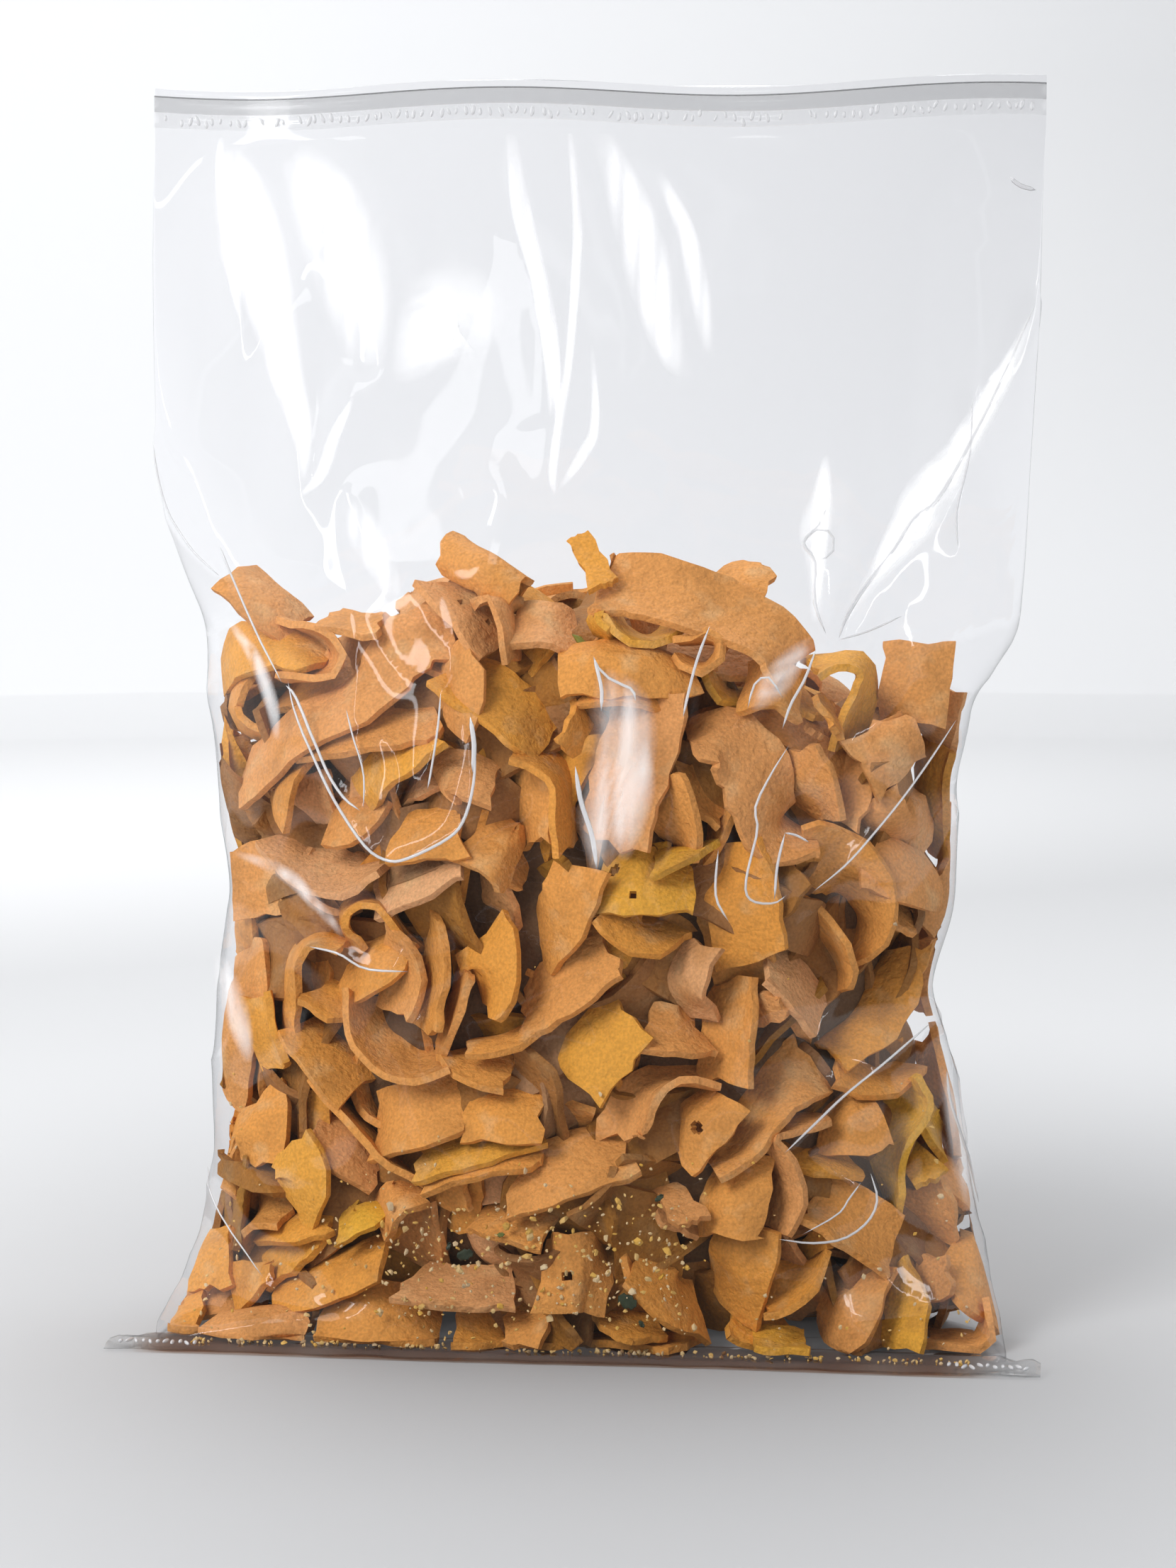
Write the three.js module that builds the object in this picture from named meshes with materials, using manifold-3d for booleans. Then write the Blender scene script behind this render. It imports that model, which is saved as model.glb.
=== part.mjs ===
// A sealed bag of clear film that stands on its filled base, packed with ribbon murukku:
// flat, curled strips of fried dough. The bag is a tube of film, welded shut along the top and
// along the bottom. The heap fills it to about six tenths of its height and holds the film out,
// and above the heap the film runs together to the flat top seal. The bottom seal lies on the
// surface along the front of the base, and its two ends stick out as flat ears.
//
// The bag is one closed solid. Below the heap's top line it is drawn in by the depth of a
// ribbon, and the ribbons that show are fused on, lying against the inside of the film.
//
// Millimetres. +Z is up, +X is to the viewer's right, and -Y is towards the viewer.
import * as THREE from "three";
import Module from "manifold-3d";
import { mergeVertices } from "three/addons/utils/BufferGeometryUtils.js";

const wasm = await Module();
wasm.setup();

// ---- Driving dimensions ----
const FLAT_WIDTH = 230; // the tube of film laid flat, and so the length of each seal
const HEIGHT = 320; // floor to the lip above the top seal
const SEAL_THICKNESS = 1; // two walls of film welded together, drawn stout enough to be solid
const SEAL_HEIGHT = 13; // the flat, welded part below the lip
const SEAM_DEPTH = 11; // how far the bottom seal reaches forward along the surface
const HEAP_HEIGHT = 176; // the heap's top line at the sides, where the mound has died out
const RIBBON_WIDTH = [14, 21];
const RIBBON_LENGTH = [32, 68];
const RIBBON_THICKNESS = 2.8;
const RECESS = 6.5; // the core lies this far behind the film, so that ribbons stand out of it
const SIDE_RECESS = 2.5; // and this far in from the side creases
const RECESS_RAMP = 16; // the film leaves the heap over this height
const FILM_GAP = 0.4; // between a ribbon's outer face and the film
const SIDE_CLEARANCE = 3.2; // between a ribbon and the side creases, where the film is too thin
const LOWEST_RIBBON = 0.6; // no ribbon reaches lower than this above the floor
const SEED = 20417;

// ---- How finely the core is drawn ----
const RING_SIDES = 46;
const RING_STEP = 12; // height between rings
const LOWEST_RINGS = [0, 1.5, 5]; // the base turns up tightly, so its rings are closer

// ---- Horizontal sections of the film, from the floor to the lip ----
// left, right: the two side creases. side: how far back or forward the creases are.
// front, back: the film's furthest points. The roundness is the power that bends the film from
// crease to crease: 0.5 is an ellipse, 1 is a lens with sharp creases, and 0.2 is nearly square.
const half = FLAT_WIDTH / 2;
const SECTION_NAMES = ["left", "right", "side", "front", "back", "roundFront", "roundBack"];
const SECTIONS = [
  { z: 0, values: [7 - half, half - 6, -33, -38, 36, 0.25, 0.38] },
  { z: 4, values: [7 - half, half - 7, -30, -42, 41, 0.4, 0.45] },
  { z: 11, values: [10 - half, half - 9, -18, -46, 46, 0.65, 0.55] },
  { z: 24, values: [14 - half, half - 13, -8, -48, 49, 0.62, 0.56] },
  { z: 43, values: [17 - half, half - 17, -3, -50, 50, 0.58, 0.55] },
  { z: 65, values: [16 - half, half - 20, 0, -48, 50, 0.52, 0.5] },
  { z: 89, values: [18 - half, half - 27, 0, -46, 48, 0.5, 0.5] },
  { z: 112, values: [21 - half, half - 21, 0, -47, 47, 0.5, 0.5] },
  { z: 142, values: [18 - half, half - 21, 0, -46, 45, 0.5, 0.5] },
  { z: 163, values: [16 - half, half - 17, 0, -43, 42, 0.52, 0.52] },
  { z: 181, values: [15 - half, half - 6, 1, -38, 38, 0.58, 0.58] },
  { z: 199, values: [8 - half, half - 5, 2, -32, 33, 0.65, 0.65] },
  { z: 223, values: [2 - half, half - 4, 3, -24, 27, 0.74, 0.74] },
  { z: 256, values: [1 - half, half - 2, 4, -14, 19, 0.84, 0.84] },
  { z: 288, values: [0 - half, half - 1, 5, -3, 12, 0.92, 0.92] },
  { z: HEIGHT - SEAL_HEIGHT, values: [0 - half, half, 5.5, 4.9, 6.1, 1, 1] },
  { z: HEIGHT, values: [0 - half, half, 6, 5.4, 6.6, 1, 1] },
];
const sectionCurve = new THREE.LinearInterpolant(
  SECTIONS.map((row) => row.z),
  SECTIONS.flatMap((row) => row.values),
  SECTION_NAMES.length,
);

function sectionAt(z) {
  const values = sectionCurve.evaluate(THREE.MathUtils.clamp(z, 0, HEIGHT));
  return Object.fromEntries(SECTION_NAMES.map((name, i) => [name, values[i]]));
}

// The seal hangs in a slow wave, which dies out down the bag.
const WAVE_LENGTH = 125;
const WAVE_CREST = -20;
const WAVE_RISE = 1.3;
const WAVE_SWAY = 4;
const WAVE_FROM = 246;

function sealWave(x, z) {
  const share = THREE.MathUtils.smoothstep(z, WAVE_FROM, HEIGHT - SEAL_HEIGHT);
  const phase = (2 * Math.PI * (x - WAVE_CREST)) / WAVE_LENGTH;
  return { rise: WAVE_RISE * share * Math.cos(phase), sway: WAVE_SWAY * share * Math.sin(phase) };
}

// ---- The film's surface ----
// The film at height z, at an angle round the bag: 0 is the right crease, 180 the left one, and
// the front of the bag is at 270. `inset` draws the surface in from the film's front and back,
// and `sideInset` draws it in from the side creases.
function filmPoint(angle, z, inset = 0, sideInset = inset) {
  const s = sectionAt(z);
  const across = Math.cos(angle);
  const halfWidth = (s.right - s.left) / 2 - sideInset;
  const isFront = Math.sin(angle) < 0;
  const furthest = isFront ? s.front + inset : s.back - inset;
  const roundness = isFront ? s.roundFront : s.roundBack;
  const bulge = Math.pow(Math.max(0, 1 - across * across), roundness);
  return new THREE.Vector3(
    (s.left + s.right) / 2 + halfWidth * across,
    s.side + (furthest - s.side) * bulge,
    z,
  );
}

// The furthest left and right that a ribbon reaches at a height, clear of the side creases.
function reachAt(z) {
  const s = sectionAt(z);
  return [s.left + SIDE_CLEARANCE, s.right - SIDE_CLEARANCE];
}

// Moves a point that lies outside the film straight back to `clear` inside it.
function keepInside(point, clear) {
  const s = sectionAt(point.z);
  const middle = (s.left + s.right) / 2;
  const halfWidth = (s.right - s.left) / 2;
  const open = Math.max(0, 1 - ((point.x - middle) / halfWidth) ** 2);
  const front = s.side + (s.front - s.side) * Math.pow(open, s.roundFront);
  const back = s.side + (s.back - s.side) * Math.pow(open, s.roundBack);
  const centre = (front + back) / 2;
  const low = Math.min(front + clear, centre);
  const high = Math.max(back - clear, centre);
  point.y = THREE.MathUtils.clamp(point.y, low, high);
}

// The heap's top line: a low mound, lower towards the right, with a dip before the right side.
function heapTop(x) {
  const mound = 18 * Math.exp(-(((x + 8) / 48) ** 2));
  const dip = 14 * Math.exp(-(((x - 70) / 13) ** 2));
  return HEAP_HEIGHT + mound - dip;
}

// ---- From three.js geometry to a solid, and back ----
function solidOf(geometry) {
  const bare = geometry.index ? geometry.toNonIndexed() : geometry.clone();
  bare.deleteAttribute("normal");
  bare.deleteAttribute("uv");
  const merged = mergeVertices(bare, 1e-4);
  return new wasm.Manifold(
    new wasm.Mesh({
      numProp: 3,
      vertProperties: new Float32Array(merged.attributes.position.array),
      triVerts: new Uint32Array(merged.index.array),
    }),
  );
}

function geometryOf(solid) {
  const mesh = solid.getMesh();
  const geometry = new THREE.BufferGeometry();
  geometry.setAttribute("position", new THREE.BufferAttribute(mesh.vertProperties, 3));
  geometry.setIndex(new THREE.BufferAttribute(mesh.triVerts, 1));
  geometry.computeVertexNormals();
  return geometry;
}

// ---- The core: rings of the film's sections, drawn in where the heap shows ----
function ringHeights() {
  const heights = [...LOWEST_RINGS];
  const above = heights[heights.length - 1];
  const top = HEIGHT - SEAL_HEIGHT;
  const steps = Math.round((top - above) / RING_STEP);
  for (let i = 1; i <= steps; i++) heights.push(above + ((top - above) * i) / steps);
  heights.push(HEIGHT);
  return heights;
}

function coreSolid() {
  const heights = ringHeights();
  const points = [];
  for (const z of heights)
    for (let i = 0; i < RING_SIDES; i++) {
      const angle = (2 * Math.PI * i) / RING_SIDES;
      const below = heapTop(filmPoint(angle, z).x) - z;
      const share = THREE.MathUtils.smoothstep(below, 0, RECESS_RAMP);
      const point = filmPoint(angle, z, RECESS * share, SIDE_RECESS * share);
      const wave = sealWave(point.x, z);
      points.push(point.x, point.y + wave.sway, point.z + wave.rise);
    }
  const faces = [];
  for (let ring = 0; ring + 1 < heights.length; ring++)
    for (let i = 0; i < RING_SIDES; i++) {
      const a = ring * RING_SIDES + i;
      const b = ring * RING_SIDES + ((i + 1) % RING_SIDES);
      faces.push(a, b, b + RING_SIDES, a, b + RING_SIDES, a + RING_SIDES);
    }
  // Each end is closed by strips that run from the front of the ring to its back.
  const top = (heights.length - 1) * RING_SIDES;
  for (let i = 0; i < RING_SIDES / 2; i++) {
    const [a, b] = [i, i + 1];
    const [c, d] = [(RING_SIDES - i) % RING_SIDES, RING_SIDES - i - 1];
    if (i > 0) {
      faces.push(a, c, b);
      faces.push(top + a, top + b, top + c);
    }
    if (b !== d) {
      faces.push(b, c, d);
      faces.push(top + b, top + d, top + c);
    }
  }
  const geometry = new THREE.BufferGeometry();
  geometry.setAttribute("position", new THREE.Float32BufferAttribute(points, 3));
  geometry.setIndex(faces);
  return solidOf(geometry);
}

// ---- The bottom seal: a flat strip along the front of the base, with an ear at each end ----
const SEAM_FRONT = -51;
const EAR_DEPTH = 7;
const EAR_SLANT = 16; // the film runs from the ears back to the body over this distance
function seamSolid() {
  const outline = new THREE.Shape([
    new THREE.Vector2(-half, SEAM_FRONT),
    new THREE.Vector2(half, SEAM_FRONT),
    new THREE.Vector2(half, SEAM_FRONT + EAR_DEPTH),
    new THREE.Vector2(half - EAR_SLANT, SEAM_FRONT + SEAM_DEPTH + EAR_SLANT),
    new THREE.Vector2(EAR_SLANT - half, SEAM_FRONT + SEAM_DEPTH + EAR_SLANT),
    new THREE.Vector2(-half, SEAM_FRONT + EAR_DEPTH),
  ]);
  return solidOf(
    new THREE.ExtrudeGeometry(outline, { depth: SEAL_THICKNESS, bevelEnabled: false }),
  );
}

// ---- The ribbons that show ----
function seededRandom(seed) {
  let state = seed;
  return () => {
    state = (state + 0x6d2b79f5) | 0;
    let t = Math.imul(state ^ (state >>> 15), 1 | state);
    t = (t + Math.imul(t ^ (t >>> 7), 61 | t)) ^ t;
    return ((t ^ (t >>> 14)) >>> 0) / 4294967296;
  };
}

const RIBBON_ROWS = 9;
const RIBBONS_A_FACE = 4; // in one row, on the front or on the back
const LOWEST_ROW = 12;
const RIBBON_STEPS = 5; // straight stretches along one ribbon
const SHARPEST_BEND = 1 / 15; // one over the tightest radius that a ribbon curls to
const STEEPEST_LEAN = 0.55; // how far a ribbon tips out of the film's surface, in radians
const STEEPEST_CUT = 0.35; // how far a broken end slants, for each millimetre across
const SMALLEST_DETAIL = 0.02; // edges shorter than this are merged away after the joining
const SINK = 1.2; // how far the deepest ribbons lie behind the film

// Shifts a whole ribbon off the floor and away from the side creases, without bending it.
function shiftInside(points) {
  const lowest = Math.min(...points.map((point) => point.z));
  const lift = Math.max(0, LOWEST_RIBBON + RIBBON_THICKNESS / 2 - lowest);
  for (const point of points) point.z += lift;
  const over = Math.max(...points.map((point) => point.x - reachAt(point.z)[1]));
  const under = Math.max(...points.map((point) => reachAt(point.z)[0] - point.x));
  const aside = Math.max(0, under) - Math.max(0, over);
  for (const point of points) point.x += aside;
}

// One ribbon: a flat box, curled along its length, with its middle against the film. Its middle
// surface is fitted into the film first, and its two faces are then set off from that, so that
// the ribbon keeps its thickness wherever the film presses on it.
function ribbonSolid(random, angle, z) {
  const between = ([low, high]) => low + (high - low) * random();
  const length = between(RIBBON_LENGTH);
  const width = between(RIBBON_WIDTH);
  const bend = SHARPEST_BEND * random();
  const heading = Math.PI * random();
  const lean = STEEPEST_LEAN * (2 * random() - 1);
  const cut = STEEPEST_CUT * (2 * random() - 1);

  const middle = filmPoint(angle, z, RIBBON_THICKNESS / 2 + FILM_GAP + SINK * random());
  const beside = filmPoint(angle + 0.02, z).sub(filmPoint(angle - 0.02, z)).normalize();
  const above = filmPoint(angle, z + 2).sub(filmPoint(angle, z - 2)).normalize();
  const outward = new THREE.Vector3().crossVectors(beside, above).normalize();
  const along = beside.clone().applyAxisAngle(outward, heading);
  const across = new THREE.Vector3().crossVectors(outward, along);
  along.applyAxisAngle(across, lean);
  outward.applyAxisAngle(across, lean);

  const geometry = new THREE.BoxGeometry(length, width, RIBBON_THICKNESS, RIBBON_STEPS, 1, 1);
  const place = geometry.attributes.position;
  const surface = [];
  for (let i = 0; i < place.count; i++) {
    const s = place.getX(i) + cut * place.getY(i) * Math.sign(place.getX(i));
    const turn = bend * s;
    const reach = bend > 1e-4 ? Math.sin(turn) / bend : s;
    const drop = bend > 1e-4 ? (1 - Math.cos(turn)) / bend : 0;
    const point = middle
      .clone()
      .addScaledVector(along, reach)
      .addScaledVector(outward, -drop)
      .addScaledVector(across, place.getY(i));
    const normal = along.clone().multiplyScalar(Math.sin(turn));
    normal.addScaledVector(outward, Math.cos(turn));
    surface.push({ point, normal, height: place.getZ(i) });
  }
  shiftInside(surface.map((entry) => entry.point));
  surface.forEach(({ point, normal, height }, i) => {
    keepInside(point, FILM_GAP + RIBBON_THICKNESS / 2);
    point.addScaledVector(normal, height);
    place.setXYZ(i, point.x, point.y, point.z);
  });
  return solidOf(geometry);
}

function ribbonSolids() {
  const random = seededRandom(SEED);
  const solids = [];
  for (let row = 0; row < RIBBON_ROWS; row++)
    for (const face of [-1, 1])
      for (let i = 0; i < RIBBONS_A_FACE; i++) {
        const column = i + (row % 2 ? 0.25 : 0.75) + 0.3 * (random() - 0.5);
        const across = THREE.MathUtils.clamp((2 * column) / RIBBONS_A_FACE - 1, -0.99, 0.99);
        const angle = face * Math.acos(across);
        const highest = heapTop(filmPoint(angle, LOWEST_ROW).x) - RIBBON_WIDTH[0] / 2;
        const share = (row + 0.5 * random()) / (RIBBON_ROWS - 0.5);
        const ribbon = ribbonSolid(random, angle, LOWEST_ROW + (highest - LOWEST_ROW) * share);
        if (ribbon.volume() > 0) solids.push(ribbon);
      }
  return solids;
}

// Keeps the largest body, which drops loose scraps and fills any hollow that the joining sealed.
function largestBody(solid) {
  return solid.decompose().reduce((a, b) => (b.volume() > a.volume() ? b : a));
}

// ---- Assembly ----
let bagSolid = coreSolid().add(seamSolid());
for (const ribbon of ribbonSolids()) bagSolid = bagSolid.add(ribbon);
bagSolid = largestBody(bagSolid.simplify(SMALLEST_DETAIL));

const bagFilm = new THREE.MeshStandardMaterial({
  name: "murukku_in_clear_film",
  color: new THREE.Color(0.72, 0.45, 0.2),
  roughness: 0.35,
  metalness: 0,
});
const bag = new THREE.Mesh(geometryOf(bagSolid), bagFilm);
bag.name = "bag";

const root = new THREE.Group();
root.add(bag);

// The origin is on the floor, under the middle of the bag's outline.
const bounds = new THREE.Box3().setFromObject(bag);
bag.position.set(-(bounds.min.x + bounds.max.x) / 2, -(bounds.min.y + bounds.max.y) / 2, 0);

export default root;
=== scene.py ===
# %% [markdown]
# # A bag of ribbon murukku
# Ribbon murukku is a fried snack: dough is pressed through a slot into flat strips, which curl
# and break in the hot oil. Here they fill a clear film bag that is welded shut at both ends.
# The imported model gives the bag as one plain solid. This lesson dresses it: the clear film, its
# folds and seals, the ribbons, the crumbs and the bits of curry leaf.

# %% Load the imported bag
import math

import bmesh
import bpy
import numpy as np
from mathutils import Matrix, Vector, noise


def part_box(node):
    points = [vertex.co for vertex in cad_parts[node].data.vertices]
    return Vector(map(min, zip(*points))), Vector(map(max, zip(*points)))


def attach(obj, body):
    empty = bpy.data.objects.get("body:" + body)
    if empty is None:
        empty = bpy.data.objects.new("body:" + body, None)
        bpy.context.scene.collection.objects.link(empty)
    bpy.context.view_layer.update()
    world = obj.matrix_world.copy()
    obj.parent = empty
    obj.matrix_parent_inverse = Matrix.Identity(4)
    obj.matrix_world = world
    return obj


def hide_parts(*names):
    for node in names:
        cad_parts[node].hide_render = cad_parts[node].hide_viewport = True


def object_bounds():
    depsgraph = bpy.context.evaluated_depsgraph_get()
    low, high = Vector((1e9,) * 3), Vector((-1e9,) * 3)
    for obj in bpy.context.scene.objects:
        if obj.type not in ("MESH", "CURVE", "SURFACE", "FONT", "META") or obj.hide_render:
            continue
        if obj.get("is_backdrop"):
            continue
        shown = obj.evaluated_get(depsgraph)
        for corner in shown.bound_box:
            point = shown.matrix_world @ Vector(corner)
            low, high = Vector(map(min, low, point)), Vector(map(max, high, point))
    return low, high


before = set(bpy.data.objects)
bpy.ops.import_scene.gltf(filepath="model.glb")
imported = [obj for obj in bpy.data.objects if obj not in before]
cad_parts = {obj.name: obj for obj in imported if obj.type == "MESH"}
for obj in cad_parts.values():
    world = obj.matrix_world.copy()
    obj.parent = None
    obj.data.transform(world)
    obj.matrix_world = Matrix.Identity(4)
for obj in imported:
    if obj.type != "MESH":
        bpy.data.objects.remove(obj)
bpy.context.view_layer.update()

MM = 0.001
bag_low, bag_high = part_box("bag")
print("bag box in mm:", [round(v / MM, 1) for v in (*bag_low, *bag_high)])

# %% [markdown]
# ## The camera
# The photograph is taken from a little to the right of the bag, from about the height of its
# headspace, with a long lens. The picture is 1659 by 2212 pixels, so its height is the long
# side, and Blender's sensor width spans it. The centre of the picture falls on AIM.

# %% Camera
PHOTO_WIDTH, PHOTO_HEIGHT = 1659, 2212
SENSOR = 36.0
DISTANCE = 1.0
FRAME_HEIGHT = 0.4025
CAMERA_HEIGHT = 0.240
CAMERA_YAW = math.radians(7.0)
AIM = Vector((-0.0004, 0.0, 0.1405))

camera_data = bpy.data.cameras.new("camera")
camera = bpy.data.objects.new("camera", camera_data)
bpy.context.scene.collection.objects.link(camera)
bpy.context.scene.camera = camera
camera_data.sensor_width = SENSOR
camera_data.lens = SENSOR * DISTANCE / FRAME_HEIGHT
camera.location = (
    AIM.x + DISTANCE * math.sin(CAMERA_YAW),
    AIM.y - DISTANCE * math.cos(CAMERA_YAW),
    CAMERA_HEIGHT,
)
camera.rotation_euler = (AIM - camera.location).to_track_quat("-Z", "Y").to_euler()
bpy.context.view_layer.update()
print("lens", round(camera_data.lens, 1), "mm, camera at", [round(v, 3) for v in camera.location])

# %% [markdown]
# Many ribbons and folds are placed where the photograph shows them. A pixel of the photograph
# is a ray from the camera, and the ray is followed to the depth where the piece lies.

# %% From a pixel of the photograph to a ray
EYE = np.array(camera.location)
TURN = np.array(camera.matrix_world.to_3x3())
SPAN = SENSOR / camera_data.lens / PHOTO_HEIGHT
PIXEL = DISTANCE * SPAN


def photo_rays(across, down):
    """Unit rays from the eye through pixels of the photograph, one row each."""
    across, down = np.broadcast_arrays(np.asarray(across, float), np.asarray(down, float))
    local = np.stack(
        [(across - PHOTO_WIDTH / 2) * SPAN, (PHOTO_HEIGHT / 2 - down) * SPAN, -np.ones(across.shape)],
        axis=-1,
    )
    rays = local @ TURN.T
    return rays / np.linalg.norm(rays, axis=-1, keepdims=True)


print("one photograph pixel at the bag is", round(PIXEL / MM, 3), "mm")

# %% [markdown]
# ## The shape of the film
# The bag is a flat tube of film, 230 mm wide. The heap bulges its lower part, so it draws in
# at the sides, and it flares again to the flat base. Each row below is a level cut through
# the film, in millimetres: its height, its left and right side creases, how far back the
# creases lie, its front and back, and the roundness of its front and back walls. A roundness
# of 0.5 is an ellipse, 1 is a lens and 0.2 is nearly a box.

# %% Level cuts through the film
HALF = 115.0
HEIGHT = 320.0
SEAL_HEIGHT = 13.0
SECTIONS = np.array([
    (0, 7 - HALF, HALF - 6, -33, -42, 36, 0.25, 0.38),
    (4, 7 - HALF, HALF - 7, -30, -45, 41, 0.4, 0.45),
    (11, 10 - HALF, HALF - 9, -18, -46, 46, 0.65, 0.55),
    (24, 14 - HALF, HALF - 13, -8, -48, 49, 0.62, 0.56),
    (43, 17 - HALF, HALF - 17, -3, -50, 50, 0.58, 0.55),
    (65, 16 - HALF, HALF - 20, 0, -48, 50, 0.52, 0.5),
    (89, 18 - HALF, HALF - 27, 0, -46, 48, 0.5, 0.5),
    (112, 21 - HALF, HALF - 21, 0, -47, 47, 0.5, 0.5),
    (142, 18 - HALF, HALF - 21, 0, -46, 45, 0.5, 0.5),
    (163, 16 - HALF, HALF - 17, 0, -43, 42, 0.52, 0.52),
    (181, 15 - HALF, HALF - 6, 1, -38, 38, 0.58, 0.58),
    (199, 8 - HALF, HALF - 5, 2, -32, 33, 0.65, 0.65),
    (223, 2 - HALF, HALF - 4, 3, -24, 27, 0.74, 0.74),
    (256, 1 - HALF, HALF - 2, 4, -14, 19, 0.84, 0.84),
    (288, -HALF, HALF - 1, 5, -3, 12, 0.92, 0.92),
    (HEIGHT - SEAL_HEIGHT, -HALF, HALF, 5.5, 5.2, 5.9, 1, 1),
    (HEIGHT, -HALF, HALF, 6, 5.7, 6.4, 1, 1),
])
SEAM_FRONT = -51.0
SHIFT_BACK = bag_low.y / MM - SEAM_FRONT
LEVELS = np.arange(0.0, HEIGHT + 1)
SMOOTHING = 4.0
SMOOTH_TOP = 290.0


def smooth_levels():
    """The cuts at every millimetre of height, with the corners between rows rounded off."""
    straight = np.stack([np.interp(LEVELS, SECTIONS[:, 0], c) for c in SECTIONS[:, 1:].T])
    reach = np.arange(-12, 13)
    weight = np.exp(-((reach / SMOOTHING) ** 2))
    padded = np.pad(straight, ((0, 0), (12, 12)), mode="reflect", reflect_type="odd")
    rounded = np.stack([np.convolve(row, weight / weight.sum(), "valid") for row in padded])
    share = np.clip((LEVELS - 8) / 12, 0, 1) * np.clip((SMOOTH_TOP - LEVELS) / 20, 0, 1)
    return straight + (rounded - straight) * share


SMOOTH = smooth_levels()


def cut_at(height):
    """Left, right, side, front, back and the two roundnesses at a height, all in mm."""
    return [np.interp(height, LEVELS, row) for row in SMOOTH]


def film_walls(across, height):
    """The y of the film's front and back walls at (x, z), in mm."""
    left, right, side, front, back, round_front, round_back = cut_at(height)
    middle, half_width = (left + right) / 2, (right - left) / 2
    open_share = np.clip(1 - ((across - middle) / half_width) ** 2, 0, 1)
    front_wall = side + (front - side) * open_share ** round_front
    back_wall = side + (back - side) * open_share ** round_back
    return front_wall + SHIFT_BACK, back_wall + SHIFT_BACK


WAVE_LENGTH, WAVE_CREST, WAVE_RISE, WAVE_SWAY, WAVE_FROM = 125.0, -20.0, 1.3, 4.0, 246.0


def seal_wave(across, height):
    """The slow wave of the top seal: how far it rises and sways, dying out down the bag."""
    share = np.clip((height - WAVE_FROM) / (HEIGHT - SEAL_HEIGHT - WAVE_FROM), 0, 1)
    share = share * share * (3 - 2 * share)
    phase = 2 * np.pi * (across - WAVE_CREST) / WAVE_LENGTH
    return WAVE_RISE * share * np.cos(phase), WAVE_SWAY * share * np.sin(phase)


def on_film(across, down, behind=0.0):
    """Where the ray of a photograph pixel meets the front film, or `behind` mm behind it."""
    rays = photo_rays(across, down)
    y = np.full(rays.shape[:-1], -30.0)
    for _ in range(12):
        travel = (y * MM - EYE[1]) / rays[..., 1]
        place = (EYE + rays * travel[..., None]) / MM
        front, _ = film_walls(place[..., 0], np.clip(place[..., 2], 0, HEIGHT))
        y = y + 0.6 * (front + behind - y)
    travel = (y * MM - EYE[1]) / rays[..., 1]
    return (EYE + rays * travel[..., None]) / MM


print("front of the film at the waist:", on_film(830, 1300).round(1))

# %% [markdown]
# ## Finishes
# Every finish is built from nodes, so that it holds from all sides. A small helper adds a node,
# sets its values and links its inputs, which keeps each finish short to read.

# %% Node helper
def new_finish(name):
    """A material without nodes."""
    finish = bpy.data.materials.new(name)
    finish.use_nodes = True
    finish.node_tree.nodes.clear()
    return finish


def add_node(finish, kind, inputs=None, **settings):
    """Adds a node; an input is a number, a colour or another node's output socket."""
    node = finish.node_tree.nodes.new("ShaderNode" + kind)
    for key, value in settings.items():
        setattr(node, key, value)
    for key, value in (inputs or {}).items():
        if isinstance(value, bpy.types.NodeSocket):
            finish.node_tree.links.new(value, node.inputs[key])
        else:
            node.inputs[key].default_value = value
    return node


def surfaced(finish, shader):
    """Makes a shader node the surface of a finish, and gives the finish back."""
    output = add_node(finish, "OutputMaterial")
    finish.node_tree.links.new(shader.outputs[0], output.inputs["Surface"])
    return finish


def ranged(finish, value, start, end, **reached):
    """A value mapped from start..end to 0..1, or to the given `To Min` and `To Max`."""
    inputs = {"Value": value, "From Min": start, "From Max": end}
    inputs.update({"To " + key.title(): number for key, number in reached.items()})
    return add_node(finish, "MapRange", inputs).outputs["Result"]


def ramp_of(finish, factor, stops):
    """A colour ramp with the given (place, colour) stops."""
    node = add_node(finish, "ValToRGB", {"Fac": factor})
    elements = node.color_ramp.elements
    while len(elements) < len(stops):
        elements.new(0.5)
    for element, (place, colour) in zip(elements, stops):
        element.position = place
        element.color = (*colour, 1)
    return node


def mixed(finish, factor, first, second, blend="MIX"):
    """Two colours mixed by a factor; returns the output socket."""
    node = finish.node_tree.nodes.new("ShaderNodeMix")
    node.data_type = "RGBA"
    node.blend_type = blend
    for key, value in ((0, factor), (6, first), (7, second)):
        if isinstance(value, bpy.types.NodeSocket):
            finish.node_tree.links.new(value, node.inputs[key])
        elif key == 0:
            node.inputs[key].default_value = value
        else:
            node.inputs[key].default_value = (*value, 1)
    return node.outputs[2]


# %% [markdown]
# Fried dough is matte, mottled and grainy. Each ribbon was fried a little differently, so every
# ribbon carries a tone from 0, tan, to 1, yellow, in a point attribute. Noise in object space
# browns it in patches and speckles it, and a fine bump gives the dry, grainy skin with its pores.
# Darker copies of the dough are painted shade, for ribbons deep in the heap and for its core.

# %% Fried dough
TONE_STOPS = (
    (0.0, (0.80, 0.43, 0.205)),
    (0.3, (0.76, 0.345, 0.115)),
    (0.6, (0.80, 0.340, 0.060)),
    (1.0, (0.80, 0.420, 0.045)),
)


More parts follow.
